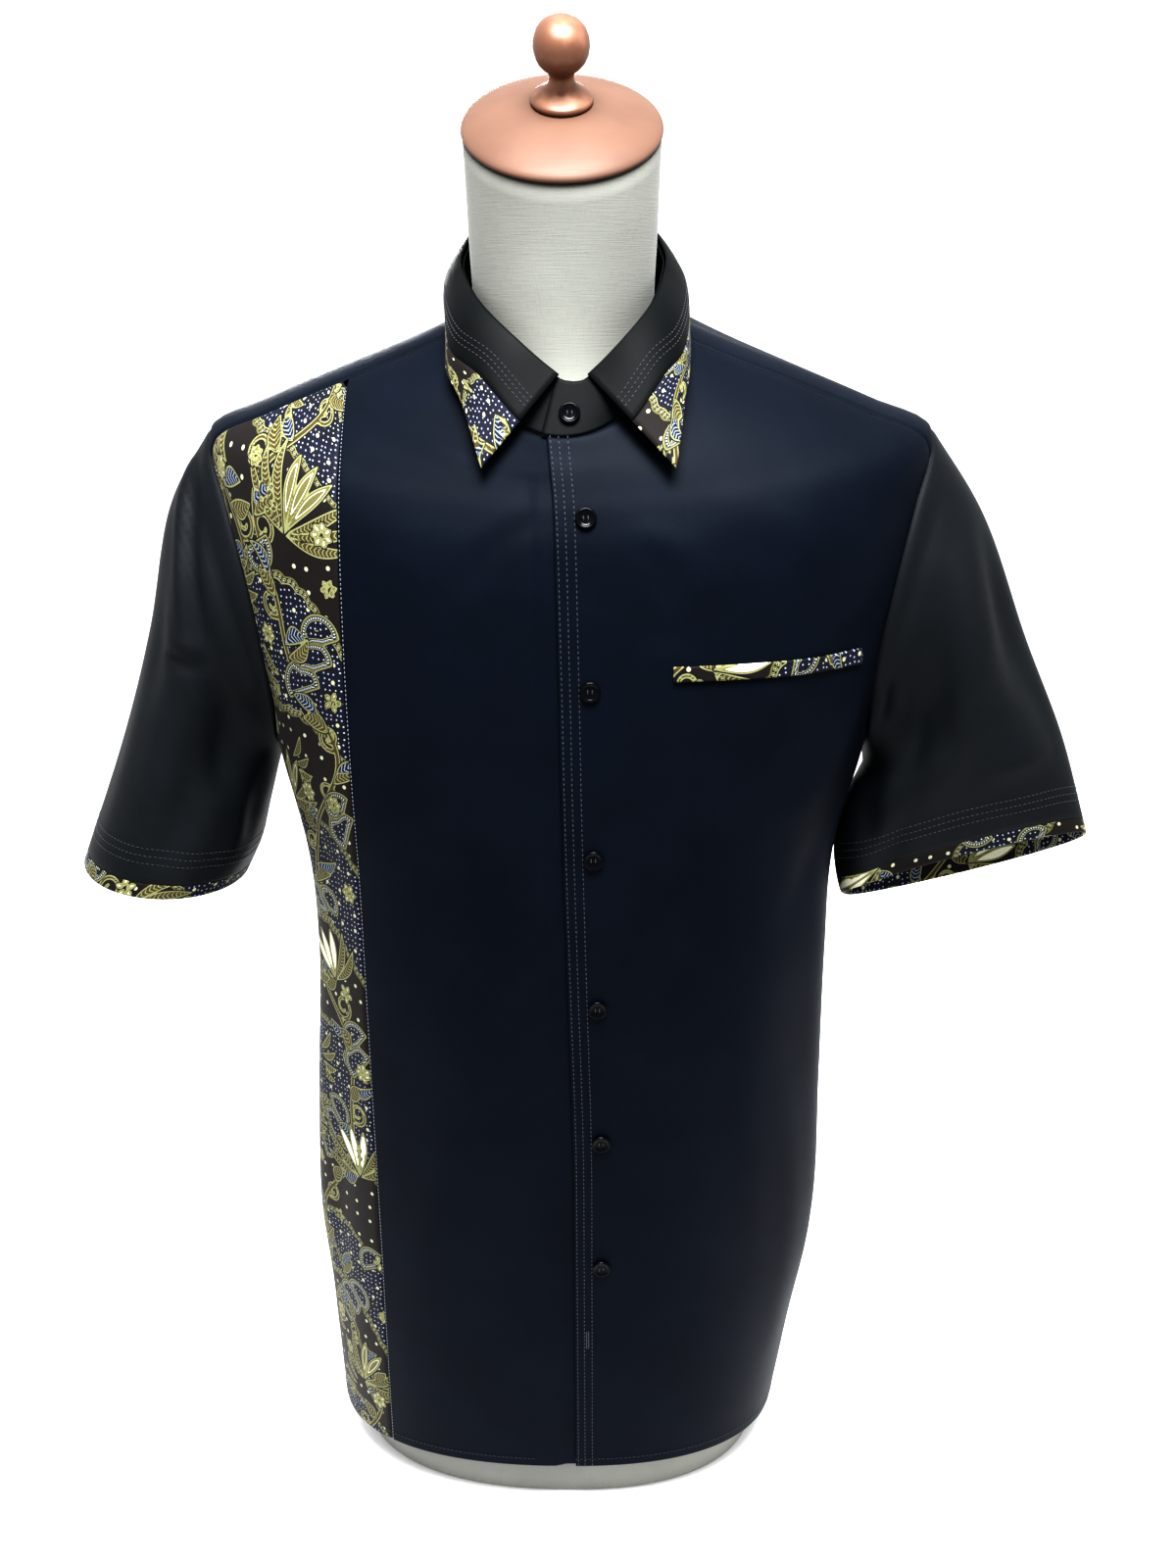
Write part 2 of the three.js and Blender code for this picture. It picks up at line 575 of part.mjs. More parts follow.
// ---------- collar ----------
// A place on the collar's outer side, w = 0 at the fold and 1 at the edge.
function collarPoint(side, phi, w) {
  const row = between(COLLAR, phi);
  const fold = new THREE.Vector3(row.foldMid + side * row.foldX, row.foldY, row.foldZ);
  const edge = new THREE.Vector3(row.edgeMid + side * row.edgeX, row.edgeY, row.edgeZ);
  const bulge = row.belly * sin(PI * clamp(w, 0, 1) ** 0.7);
  return fold.lerp(edge, w).addScaledVector(outOfNeck(fold), bulge);
}

const outOfNeck = (point) => new THREE.Vector3(point.x - NECK_X, point.y + 8, 0).normalize();

// One run of columns from the right leaf's front edge round the back to the left one's.
const LEAF_PHIS = [LEAF_START, 16, 25, 36, 48, 60, 74, 90, 108, 126, 144, 162];
const COLLAR_COLUMNS = [
  ...LEAF_PHIS.map((phi) => ({ side: -1, phi })), { side: 1, phi: 180 },
  ...LEAF_PHIS.toReversed().map((phi) => ({ side: 1, phi })),
];

function collarWall(name, parts, material) {
  const outer = parts.map((part) => COLLAR_COLUMNS.map(({ side, phi }) => collarPoint(side, phi, part(phi))));
  const inner = parts.map((part) => COLLAR_COLUMNS.map(({ side, phi }) => {
    const w = part(phi);
    const normal = normalOf((u, v) => collarPoint(side, u, v), phi, max(w, 0.06), 1.5, 0.04);
    return collarPoint(side, phi, w).addScaledVector(normal, side * COLLAR_CLOTH);
  }));
  wall(name, outer, inner, material);
}

function collarFall() {
  const gap = SEAM / 2 / COLLAR_WIDTH;
  const band = (phi) => between(COLLAR, phi).band;
  const inner = [0, 0.12, 0.35, 0.65].map((part) => (phi) => part * band(phi));
  collarWall('collar_fall', [...inner, (phi) => band(phi) - gap], NAVY);
  collarWall('collar_band', [0, 0.5, 1].map((part) => (phi) => mix(band(phi) + gap, 1, part)), BATIK);
}

// The neckband, from its hidden right end round the neck to the left end that buttons over it.
function standPoint(turn, up, depth) {
  const signed = ((540 - turn) % 360) - 180;
  const side = signed > 0 ? 1 : -1;
  const phi = abs(signed);
  const row = between(COLLAR, phi);
  const top = new THREE.Vector3(row.foldMid + side * row.foldX, row.foldY, row.foldZ - STAND.drop);
  const foot = plainBody(side * phi * DEG, NECK_LEVEL);
  const under = STAND.step * (1 - smooth((turn - 14) / 14));
  const point = foot.addScaledVector(new THREE.Vector3(0, 0, 1), SEAM).lerp(top, up);
  return point.addScaledVector(outOfNeck(point), -(depth + under + STAND.inset * up));
}

function collarStand() {
  const turns = [-STAND.under, -5, 4, 14, 22, 32, 45, 60, 76, 92, 110, 128, 146, 164, 180];
  const back = [196, 214, 232, 250, 268, 284, 300, 315, 328, 340, 352, 360, 360 - STAND.over];
  const grid = (depth) => [0, 0.5, 1].map((up) => [...turns, ...back].map((turn) => standPoint(turn, up, depth)));
  wall('collar_stand', grid(0), grid(COLLAR_CLOTH), NAVY);
}

// ---------- buttons and pocket ----------
function button(name, place, axis) {
  const { radius, rim, dish } = BUTTON;
  const profile = [
    [radius * 0.55, SEAM], [radius, SEAM + 0.8], [radius, rim - 0.5], [radius * 0.9, rim],
    [radius * 0.74, rim - 0.1], [radius * 0.62, dish],
  ];
  turned(name, profile, 14, place, axis, BUTTON_PLASTIC);
}

function buttons() {
  const low = standPoint(359, 0.42, 0);
  const axis = new THREE.Vector3(0, -cos(20 * DEG), sin(20 * DEG));
  button('button_collar', low, axis);
  BUTTON_LEVELS.forEach((level, i) => {
    const phi = phiAtX(level, placketX(level));
    button(`button_${i + 1}`, body(phi, level), bodyNormal(phi, level));
  });
}

function pocketWelt() {
  const { fromX, toX, level, height, cloth: thick } = WELT;
  const rows = [level - height / 2, level, level + height / 2];
  const columns = steps(7).map((t) => mix(fromX, toX, t));
  const grid = (out) => rows.map((z) => columns.map((x) => body(phiAtX(z, x), z, out)));
  wall('pocket_welt', grid(2 * SEAM + thick), grid(2 * SEAM), BATIK);
}

// ---------- dress form ----------
function formTorso() {
  const phis = Array.from({ length: COLUMNS.form }, (_, i) => (i / COLUMNS.form) * 2 * PI);
  const inside = (level) => phis.map((phi) => {
    const { ease } = between(FORM_EASE, level);
    return plainBody(phi, level).addScaledVector(bodyNormal(phi, level), -ease);
  });
  const base = inside(FORM_LEVELS[0]);
  for (const point of base) point.z = 0;
  const neck = NECK.map(({ y, z, wide, deep, tilt }) => phis.map((phi) => new THREE.Vector3(
    NECK_X + wide * sin(phi),
    y - deep * cos(phi) * cos(tilt * DEG),
    z - deep * cos(phi) * sin(tilt * DEG),
  )));
  loft('form_torso', [base, ...FORM_LEVELS.map(inside), ...neck], LINEN);
}

function neckCap() {
  const { y, z, wide, deep, tilt } = NECK.at(-1);
  const place = new THREE.Vector3(NECK_X, y, z);
  const axis = new THREE.Vector3(0, -sin(tilt * DEG), cos(tilt * DEG));
  const rim = wide + 0.8;
  const dome = [[rim * 0.94, 6.5], [rim * 0.83, 9.8], [rim * 0.67, 12.9], [rim * 0.48, 15.3], [rim * 0.3, 16.8]];
  const profile = [[rim - 1, SEAM], [rim, 1.4], [rim, 4], ...dome];
  turned('neck_cap', profile, 32, place, axis, ROSE_GOLD, deep / wide);
  const knob = [
    [17, 17.1], [17, 20], [14, 22], [7.5, 26], [6.5, 31], [11, 36], [15, 43], [15, 49], [11, 56], [4, 60],
  ];
  turned('neck_finial', knob, 20, place, axis, DARK_METAL);
}

// ---------- assembly ----------
frontLeft();
frontRight();
sideFrontRight();
back();
yoke();
for (const side of [1, -1]) {
  sleeveWall(side);
  sleeveBand(side);
}
collarFall();
collarStand();
buttons();
pocketWelt();
formTorso();
neckCap();

export default shirt;
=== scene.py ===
"""A man's short-sleeved shirt in navy cotton and batik, worn by a limbless dress form.

Shapes are worked out in millimetres, in the frame's own axes: +Z up, the shirt faces -Y and the wearer's
left is +X. Points become metres where a mesh is made from them.
"""
from math import cos, pi, radians, sin
from types import SimpleNamespace

import bpy
import numpy as np
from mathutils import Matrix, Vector


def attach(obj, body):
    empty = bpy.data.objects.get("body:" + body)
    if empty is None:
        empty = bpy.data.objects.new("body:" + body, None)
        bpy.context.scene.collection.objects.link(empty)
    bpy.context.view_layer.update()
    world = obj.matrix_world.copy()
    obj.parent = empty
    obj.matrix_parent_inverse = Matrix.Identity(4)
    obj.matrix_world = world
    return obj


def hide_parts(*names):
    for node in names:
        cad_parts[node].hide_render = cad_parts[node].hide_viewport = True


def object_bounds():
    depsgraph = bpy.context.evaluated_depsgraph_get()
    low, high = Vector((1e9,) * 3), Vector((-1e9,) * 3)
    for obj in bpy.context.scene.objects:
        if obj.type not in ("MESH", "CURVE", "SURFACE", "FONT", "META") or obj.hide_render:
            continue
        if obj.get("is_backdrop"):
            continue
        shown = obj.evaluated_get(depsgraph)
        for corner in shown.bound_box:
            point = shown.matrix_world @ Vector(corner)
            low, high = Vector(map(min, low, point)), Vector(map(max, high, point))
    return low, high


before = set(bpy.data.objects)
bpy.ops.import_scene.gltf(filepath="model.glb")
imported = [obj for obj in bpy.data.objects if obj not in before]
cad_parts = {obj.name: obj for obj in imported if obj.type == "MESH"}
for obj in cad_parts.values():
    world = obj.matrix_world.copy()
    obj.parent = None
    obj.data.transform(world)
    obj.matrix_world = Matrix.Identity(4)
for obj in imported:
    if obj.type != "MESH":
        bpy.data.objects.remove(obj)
CAD_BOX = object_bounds()
MM = 0.001
DEG = pi / 180


# ---------- tables and smooth curves ----------
def table(columns, *rows):
    """Rows of numbers with a name for each column."""
    return dict(zip(columns.split(), np.array(rows, float).T))


def rows_of(rows):
    """The rows of a table, one after the other."""
    return [SimpleNamespace(**dict(zip(rows, row))) for row in zip(*rows.values())]


def together(*values):
    """Numbers and arrays as arrays of one shape."""
    return np.broadcast_arrays(*(np.asarray(value, float) for value in values))


def hermite(a, b, slope_a, slope_b, t):
    rise = t * t * (3 - 2 * t)
    return a * (1 - rise) + b * rise + slope_a * t * (1 - t) ** 2 - slope_b * t * t * (1 - t)


def between(rows, at):
    """Every column at values of the table's first one, on a smooth curve through its rows."""
    keys = next(iter(rows.values()))
    at = np.asarray(at, float)
    a = np.clip(np.searchsorted(keys, at, side="right") - 1, 0, len(keys) - 2)
    b, before, after = a + 1, np.maximum(a - 1, 0), np.minimum(a + 2, len(keys) - 1)
    span = keys[b] - keys[a]

    def curve(column):
        slope_a = (column[b] - column[before]) / (keys[b] - keys[before]) * span
        slope_b = (column[after] - column[a]) / (keys[after] - keys[a]) * span
        return hermite(column[a], column[b], slope_a, slope_b, (at - keys[a]) / span)

    return SimpleNamespace(**{name: curve(column) for name, column in rows.items()})


def through(stations, t):
    """A smooth way through stations that are spaced evenly from t = 0 to 1."""
    stations = np.asarray(stations)
    last = len(stations) - 1
    i = np.clip(np.floor(np.asarray(t) * last).astype(int), 0, last - 1)
    at = (np.asarray(t) * last - i)[..., None]
    column = np.arange(stations.shape[1])
    pick = lambda k: stations[np.clip(k, 0, last), column]
    slope_a = (pick(i + 1) - pick(i - 1)) * np.where(i > 0, 0.5, 1)[..., None]
    slope_b = (pick(i + 2) - pick(i)) * np.where(i < last - 1, 0.5, 1)[..., None]
    return hermite(pick(i), pick(i + 1), slope_a, slope_b, at)


def mix(a, b, t):
    return a + (b - a) * t


def smooth(t):
    t = np.clip(t, 0, 1)
    return t * t * (3 - 2 * t)


def xyz(x, y, z):
    return np.stack(together(x, y, z), axis=-1)


def unit(vectors):
    return vectors / np.maximum(np.linalg.norm(vectors, axis=-1, keepdims=True), 1e-9)


def normal_of(surface, u, v, du, dv):
    """The normal of a surface(u, v), out where u x v points out."""
    along, up = surface(u + du, v) - surface(u - du, v), surface(u, v + dv) - surface(u, v - dv)
    return unit(np.cross(along, up))


# ---------- the shirt's cut ----------
SEAM = 0.3  # space between two pieces at a seam
WALL = 1.0  # one layer of shirting
FOLDED = 1.6  # layers folded together, as at the front's edge
HEM_LEVEL = 35
UNDERARM_LEVEL = 530
NECK_LEVEL = 887
YOKE_FRONT = 75 * DEG
YOKE_BACK_LEVEL = 706
YOKE_NECK_BACK = 105 * DEG
OVERLAP = 17  # left front's edge to the line of buttons
BATIK_SEAM_X = -128
SLEEVE_BAND = 10
SLEEVE_FACING = 26
ARMHOLE = SimpleNamespace(middle=627, half=97, front=25 * DEG, back=24 * DEG, squareness=0.8)
WELT = SimpleNamespace(from_x=57, to_x=167, level=598, height=10, cloth=1.4)
SIDES = {1: "left", -1: "right"}  # the wearer's; sleeves are told apart by 1 and -1

# Rings of the body: heights at the front, side and back, half widths, depths, squareness and middle.
BODY = table(
    "level z_front z_side z_back right left front back square shift",
    (35, 40, 27, 31, 171, 147, 113, 104, 2.3, 0),
    (110, 110, 108, 108, 174, 158, 114, 105, 2.3, 0),
    (205, 205, 205, 205, 176, 168, 115, 106, 2.3, 0),
    (300, 301, 300, 300, 172, 167, 119, 105, 2.3, 0),
    (397, 397, 397, 397, 166, 166, 124, 103, 2.3, 0),
    (470, 470, 470, 470, 169, 168, 124, 105, 2.3, 0),
    (530, 530, 530, 532, 183, 183, 123, 109, 2.4, 0),
    (580, 585, 582, 588, 192, 192, 120, 112, 2.5, 0),
    (640, 632, 640, 650, 205, 205, 116, 108, 2.35, 0),
    (690, 667, 688, 700, 213, 213, 112, 102, 2.15, 0),
    (724, 685, 721, 726, 214, 214, 107, 97, 1.95, 0),
    (760, 697, 736, 748, 182, 182, 102, 91, 1.95, -1),
    (810, 708, 755, 772, 135, 135, 97, 83, 2, -2),
    (850, 717, 769, 790, 98, 98, 92, 76, 2.05, -3),
    (887, 725, 783, 806, 64, 64, 88, 70, 2.1, -4),
)

PLACKET = table(
    "level x",
    (35, 19), (205, 18.5), (300, 18), (397, 15.5), (493, 13), (590, 11), (711, 9), (887, 5),
)
BUTTON_LEVELS = [722, 587, 493, 397, 300, 205]
COLLAR_BUTTON = SimpleNamespace(turn=359.0, up=0.42, tilt=20 * DEG)
BUTTONHOLE = SimpleNamespace(low=141, high=154, from_placket=-9, half=0.7)  # the lowest, below the buttons

# Soft folds that fall down the body.
BODY_FOLDS = table(
    "phi lean width rise start stop",
    (-72, 4, 9, 3.5, 120, 560), (70, -5, 9, 3.5, 90, 560), (108, 6, 10, 4, 60, 600),
    (-112, -6, 11, 4.5, 40, 620), (148, 8, 11, 4, 60, 560), (-150, -5, 12, 4, 80, 600),
    (38, -9, 12, 1.8, 180, 480),
)

# Rings of each sleeve below the armhole: middle, half width and depth, slant, and how far the back dips.
SLEEVES = {
    1: table(
        "x y z wide deep slant dip",
        (218.5, -2, 590, 84, 50, 68, 0), (234, -5, 541, 71, 45, 49, 5), (246, -8, 493, 74, 39, 31, 20),
        (256, -10, 442, 80, 34, 15, 35),
    ),
    -1: table(
        "x y z wide deep slant dip",
        (215, 0, 594, 86, 53, 72, 0), (229, 1, 543, 68, 58, 62, 0), (245, 1, 493, 55, 65, 44, 2),
        (267, 0, 440, 51, 71, 10, 4),
    ),
}
SLEEVE_FOLDS = {
    1: table(
        "angle drift width rise start stop",
        (112, 6, 17, -9, 0.04, 0.62), (74, -12, 20, 5, 0.1, 1.02), (36, -6, 15, -4, 0.15, 0.85),
        (150, -12, 16, 5, 0.3, 1.02), (126, 8, 9, -6, 0.62, 1.05), (250, 14, 17, -6, 0.05, 0.75),
        (292, -10, 20, 4, 0.2, 1.0),
    ),
    -1: table(
        "angle drift width rise start stop",
        (122, -14, 17, -8, 0.04, 0.7), (84, -16, 19, 5, 0.1, 0.95), (48, 0, 14, -5, 0.2, 0.72),
        (140, 6, 14, 4, 0.45, 1.02), (246, 12, 17, -7, 0.05, 0.75), (290, -8, 20, 4, 0.2, 1.0),
    ),
}

# The collar from the centre front (phi 0) to the centre back (180): its fold, its edge, its belly between
# them, and the part of the way down at which the batik band begins.
COLLAR = table(
    "phi fold_mid fold_x fold_y fold_z edge_mid edge_x edge_y edge_z belly band",
    (0, 3, 0, -78, 755, 5, 49, -108, 700, 0.5, 0.46),
    (8, 2, 8, -77, 757, 5, 52, -104, 711, 1, 0.5),
    (30, 0, 31, -70, 777, 2, 60.5, -79, 742, 3, 0.6),
    (52, -2, 48, -50, 794, -1, 67, -60, 757, 5, 0.72),
    (78, -4, 58, -14, 810, -1, 69, -26, 776, 6, 0.76),
    (92, -4, 59, 8, 819, -2, 69, 4, 787, 6, 0.76),
    (122, -4, 50, 40, 834, -4, 64, 42, 794, 5, 0.75),
    (150, -4, 29, 60, 842, -4, 38, 70, 797, 4, 0.75),
    (180, -4, 0, 68, 845, -4, 0, 81, 798, 4, 0.75),
    (210, -4, -29, 60, 842, -4, -38, 70, 797, 4, 0.75),
)
LEAF_START = 8
COLLAR_CLOTH = 1.4
COLLAR_WIDTH = 45
STAND = SimpleNamespace(under=13, over=-9, step=2.0, ramp=14, drop=2.8, inset=1.3)

# The dress form inside the shirt, and its neck.
FORM_EASE = table(
    "level ease",
    (35, 18), (205, 20), (397, 14), (530, 11), (640, 8), (700, 9), (724, 10), (775, 6), (850, 5.5),
    (887, 7),
)
FORM_LEVELS = [60, 110, 205, 300, 397, 470, 530, 580, 640, 690, 716, 736, 760, 810, 850, 887]
NECK = table(
    "y z wide deep tilt",
    (-6, 786, 52.5, 67, 27), (-17, 832, 53, 60, 29), (-28, 879, 54, 58, 30),
)
NECK_X, NECK_Y = -4, -8  # the neck's middle


# ---------- the body's surface ----------
def plain_body(phi, level):
    ring = between(BODY, level)
    s, c = np.sin(phi), np.cos(phi)
    half = np.where(s < 0, ring.right, ring.left)
    deep = np.where(c > 0, ring.front, ring.back)
    z_end = np.where(c > 0, ring.z_front, ring.z_back)
    power = 2 / ring.square
    x = ring.shift + np.sign(s) * half * np.abs(s) ** power
    return xyz(x, -np.sign(c) * deep * np.abs(c) ** power, mix(ring.z_side, z_end, np.abs(c) ** 1.5))


def body_normal(phi, level):
    return normal_of(plain_body, phi, level, 0.01, 2)


def folds(rows, across_of, along, fade):
    """The height of a table's soft folds: each swells and dies away between its two ends."""
    height = 0
    for fold in rows_of(rows):
        bell = np.exp(-((across_of(fold) / fold.width) ** 2))
        ends = smooth((along - fold.start) / fade) * smooth((fold.stop - along) / fade)
        height = height + fold.rise * bell * ends
    return height


def turned_from(angle, middle):
    return (angle / DEG - middle + 540) % 360 - 180


def body(phi, level, out=0):
    """A place on the body, with its folds, moved out by some millimetres."""
    phi, level = together(phi, level)
    across = lambda fold: turned_from(phi, fold.phi + fold.lean * (level - 300) / 300)
    height = out + folds(BODY_FOLDS, across, level, 90)
    return plain_body(phi, level) + body_normal(phi, level) * np.asarray(height)[..., None]


def phi_at_x(level, x):
    ring = between(BODY, level)
    half = np.where(x < ring.shift, ring.right, ring.left)
    part = np.clip((x - ring.shift) / half, -1, 1)
    return np.sign(part) * np.arcsin(np.abs(part) ** (ring.square / 2))


def beside(phi, level, distance):
    """The angle that lies some millimetres further round the body."""
    step = 0.01
    way = plain_body(phi + step, level) - plain_body(phi - step, level)
    return phi + distance / (np.linalg.norm(way, axis=-1) / (2 * step))


def placket_x(level):
    return between(PLACKET, level).x


# ---------- armholes and sleeves ----------
def armhole(side, psi):
    """A place on the armhole: psi 0 is its top, 90 degrees the front, 180 the underarm."""
    reach = np.where(np.sin(psi) > 0, ARMHOLE.front, -ARMHOLE.back)
    phi = 90 * DEG - reach * np.abs(np.sin(psi)) ** ARMHOLE.squareness
    return side * phi, ARMHOLE.middle + ARMHOLE.half * np.cos(psi)


YOKE_FRONT_PSI = np.arcsin(((90 * DEG - YOKE_FRONT) / ARMHOLE.front) ** (1 / ARMHOLE.squareness))
YOKE_BACK_PSI = np.arccos((YOKE_BACK_LEVEL - ARMHOLE.middle) / ARMHOLE.half)


def sleeve_ring(side, row, psi):
    slant, dip = row.slant * DEG, row.dip * DEG
    across, depth = row.wide * np.cos(psi), row.deep * np.sin(psi)
    return xyz(
        side * (row.x + across * cos(slant)),
        row.y - depth * cos(dip),
        row.z + across * sin(slant) + depth * sin(dip),
    )


def plain_sleeve(side, psi, t):
    psi, t = together(psi, t)
    shape = psi.shape
    psi, t = psi.ravel(), t.ravel()
    stations = [body(*armhole(side, psi))] + [sleeve_ring(side, row, psi) for row in rows_of(SLEEVES[side])]
    return through(np.stack(stations), t).reshape(*shape, 3)


def sleeve_normal(side, psi, t):
    surface = lambda u, v: plain_sleeve(side, u, v)
    return normal_of(surface, psi, np.clip(t, 0.02, 0.98), 0.03, 0.02) * side


def sleeve(side, psi, t, out=0):
    across = lambda fold: turned_from(psi, fold.angle + fold.drift * t)
    height = folds(SLEEVE_FOLDS[side], across, t, 0.3) * smooth(t / 0.15) + out
    return plain_sleeve(side, psi, t) + sleeve_normal(side, psi, t) * np.asarray(height)[..., None]


def above_end(side, psi, distance):
    """How far down the sleeve, as a part of it, a place lies that is some millimetres above its end."""
    part = 0.04
    last = np.linalg.norm(plain_sleeve(side, psi, 1) - plain_sleeve(side, psi, 1 - part), axis=-1)
    return 1 - distance / (last / part)


# ---------- the collar ----------
def out_of_neck(points):
    return unit(points * [1, 1, 0] - [NECK_X, NECK_Y, 0])


def collar_point(turn, w):
    """A place on the collar's outer side: turn is in degrees, w is 0 at the fold and 1 at the edge."""
    turn, w = together(turn, w)
    side = np.where(turn < 0, -1, 1)
    row = between(COLLAR, np.abs(turn))
    fold = xyz(row.fold_mid + side * row.fold_x, row.fold_y, row.fold_z)
    edge = xyz(row.edge_mid + side * row.edge_x, row.edge_y, row.edge_z)
    belly = row.belly * np.sin(pi * np.clip(w, 0, 1) ** 0.7)
    return mix(fold, edge, w[..., None]) + out_of_neck(fold) * belly[..., None]


def collar_normal(turn, w):
    return normal_of(collar_point, turn, np.maximum(w, 0.06), 1.5, 0.04)


def stand_point(turn, up, depth):
    """A place on the neckband; turn runs from its hidden end round the neck to the end over it."""
    signed = (540 - np.asarray(turn, float)) % 360 - 180
    side = np.where(signed > 0, 1, -1)
    phi = np.abs(signed)
    row = between(COLLAR, phi)
    top = xyz(row.fold_mid + side * row.fold_x, row.fold_y, row.fold_z - STAND.drop)
    foot = plain_body(side * phi * DEG, NECK_LEVEL) + [0, 0, SEAM]
    under = STAND.step * (1 - smooth((turn - STAND.ramp) / STAND.ramp))
    point = mix(foot, top, np.asarray(up, float)[..., None])
    return point - out_of_neck(point) * (depth + under + STAND.inset * up)[..., None]


# ---------- meshes ----------
def new_object(name, data):
    obj = bpy.data.objects.new(name, data)
    bpy.context.scene.collection.objects.link(obj)
    return obj


def grid(rows, columns, loop=False):
    """The indices of a grid's points; a loop's first column comes once more at its end."""
    index = np.arange(rows * columns).reshape(rows, columns)
    return np.hstack([index, index[:, :1]]) if loop else index


def quads(index):
    """The corners of every cell of a grid."""
    return np.stack([index[:-1, :-1], index[:-1, 1:], index[1:, 1:], index[1:, :-1]], -1).reshape(-1, 4)


def mesh_piece(name, points, faces, material, corner_uv=None, fields=None):
    """A mesh object from points in millimetres, with its cloth UV map (millimetres) and its fields."""
    mesh = bpy.data.meshes.new(name)
    mesh.from_pydata((np.asarray(points) * MM).tolist(), [], faces)
    if corner_uv is not None:
        layer = mesh.uv_layers.new(name="cloth")
        layer.data.foreach_set("uv", np.asarray(corner_uv, np.float32).ravel())
    for field, values in (fields or {}).items():
        attribute = mesh.attributes.new(field, "FLOAT", "POINT")
        attribute.data.foreach_set("value", np.asarray(values, np.float32).ravel())
    mesh.polygons.foreach_set("use_smooth", np.ones(len(mesh.polygons), bool))
    mesh.materials.append(material)
    return new_object(name, mesh)


def ringed_piece(name, rings, material, face_uv=None):
    """A piece of rings of points, closed at both ends; face_uv has a place on the face for each point."""
    index = grid(*rings.shape[:2], loop=True)
    faces = quads(index).tolist() + [index[0, -2::-1].tolist(), index[-1, :-1].tolist()]
    corner_uv = None if face_uv is None else [tuple(face_uv[i]) for face in faces for i in face]
    return mesh_piece(name, rings.reshape(-1, 3), faces, material, corner_uv)


def shell(name, outer, inner, uv, material, loop=False, fields=None, bulge=0.3):
    """A sheet with a wall: two grids of points, joined all along their borders by a rounded edge."""
    rows, columns = outer.shape[:2]
    index, uv_index = grid(rows, columns, loop), grid(*uv.shape[:2])
    count = rows * columns
    faces, corners = [quads(index)], [quads(uv_index)]
    faces.append(faces[0][:, ::-1] + count)
    corners.append(corners[0][:, ::-1])

    r, c = np.meshgrid(np.arange(rows), np.arange(index.shape[1]), indexing="ij")
    if loop:
        borders = [(r[0], c[0]), (r[-1][::-1], c[-1][::-1])]
    else:
        walk = lambda a: np.concatenate([a[0], a[1:, -1], a[-1, -2::-1], a[-2::-1, 0]])
        borders = [(walk(r), walk(c))]
    points, source = [outer.reshape(-1, 3), inner.reshape(-1, 3)], [np.arange(count)] * 2
    start = 2 * count
    for border_r, border_c in borders:
        edge = index[border_r, border_c]
        within_c = border_c if loop else np.clip(border_c, 1, columns - 2)
        within = index[np.clip(border_r, 1, rows - 2), within_c]
        away = unit(points[0][edge] - points[0][within])
        middle = (points[0][edge] + points[1][edge]) / 2 + away * bulge
        points.append(middle[:-1])
        source.append(edge[:-1])
        ring = start + np.append(np.arange(len(edge) - 1), 0)
        start += len(edge) - 1
        at_uv = uv_index[border_r, border_c]
        for upper, lower in ((edge, ring), (ring, edge + count)):
            faces.append(np.stack([upper[1:], upper[:-1], lower[:-1], lower[1:]], -1))
            corners.append(np.stack([at_uv[1:], at_uv[:-1], at_uv[:-1], at_uv[1:]], -1))
    faces, corners = np.concatenate(faces), np.concatenate(corners)

    across = outer[:-1, 1:] - outer[:-1, :-1]
    up = outer[1:, :-1] - outer[:-1, :-1]
    if np.sum(np.cross(across, up) * (outer - inner)[:-1, :-1]) < 0:
        faces, corners = faces[:, ::-1], corners[:, ::-1]
    order = np.concatenate(source)
    fields = {field: np.asarray(values).ravel()[order] for field, values in (fields or {}).items()}
    corner_uv = uv.reshape(-1, 2)[corners]
    return mesh_piece(name, np.concatenate(points), faces.tolist(), material, corner_uv, fields)


def measured(points, column=0):
    """The cloth's own coordinates of a grid, in millimetres: along its rows from one column, and up it."""
    along = np.linalg.norm(np.diff(points, axis=1), axis=2).cumsum(axis=1)
    along = np.hstack([np.zeros((len(points), 1)), along])
    up = np.append(0, np.linalg.norm(np.diff(points[:, column], axis=0), axis=1).cumsum())
    return np.stack(together(along - along[:, [column]], up[:, None]), -1)


def rolled(points, normals, sides, depth=0.8, width=1.4):
    """The grid with its sewn edges rolled in: sides is any of left, right, bottom and top."""
    far = {}
    for name, axis in (("left", 1), ("bottom", 0)):
        steps = np.linalg.norm(np.diff(points, axis=axis), axis=2)
        zero = np.zeros_like(steps.take([0], axis))
        far[name] = np.concatenate([zero, steps.cumsum(axis)], axis)
    far["right"] = far["left"][:, -1:] - far["left"]
    far["top"] = far["bottom"][-1:] - far["bottom"]
    sink = sum(depth * np.exp(-((far[side] / width) ** 2)) for side in sides.split())
    return points - normals * np.minimum(sink, depth)[..., None]


ROLL_STEPS = np.array([0, 0.6, 1.3, 2.3, 3.8])  # close columns where a sewn edge rolls in


def even(length, step):
    """Places from 0 to 1 along a length in millimetres, closer at both ends."""
    middle = np.linspace(ROLL_STEPS[-1], length - ROLL_STEPS[-1], max(int(length / step), 2) + 1)[1:-1]
    return np.concatenate([ROLL_STEPS, middle, length - ROLL_STEPS[::-1]]) / length


CREASE_PLACES = 15  # places along a crease's line
OTHER_SIDE = SimpleNamespace(away=1.7, wide=1.1)  # the smaller fold beside a crease, in widths of the crease


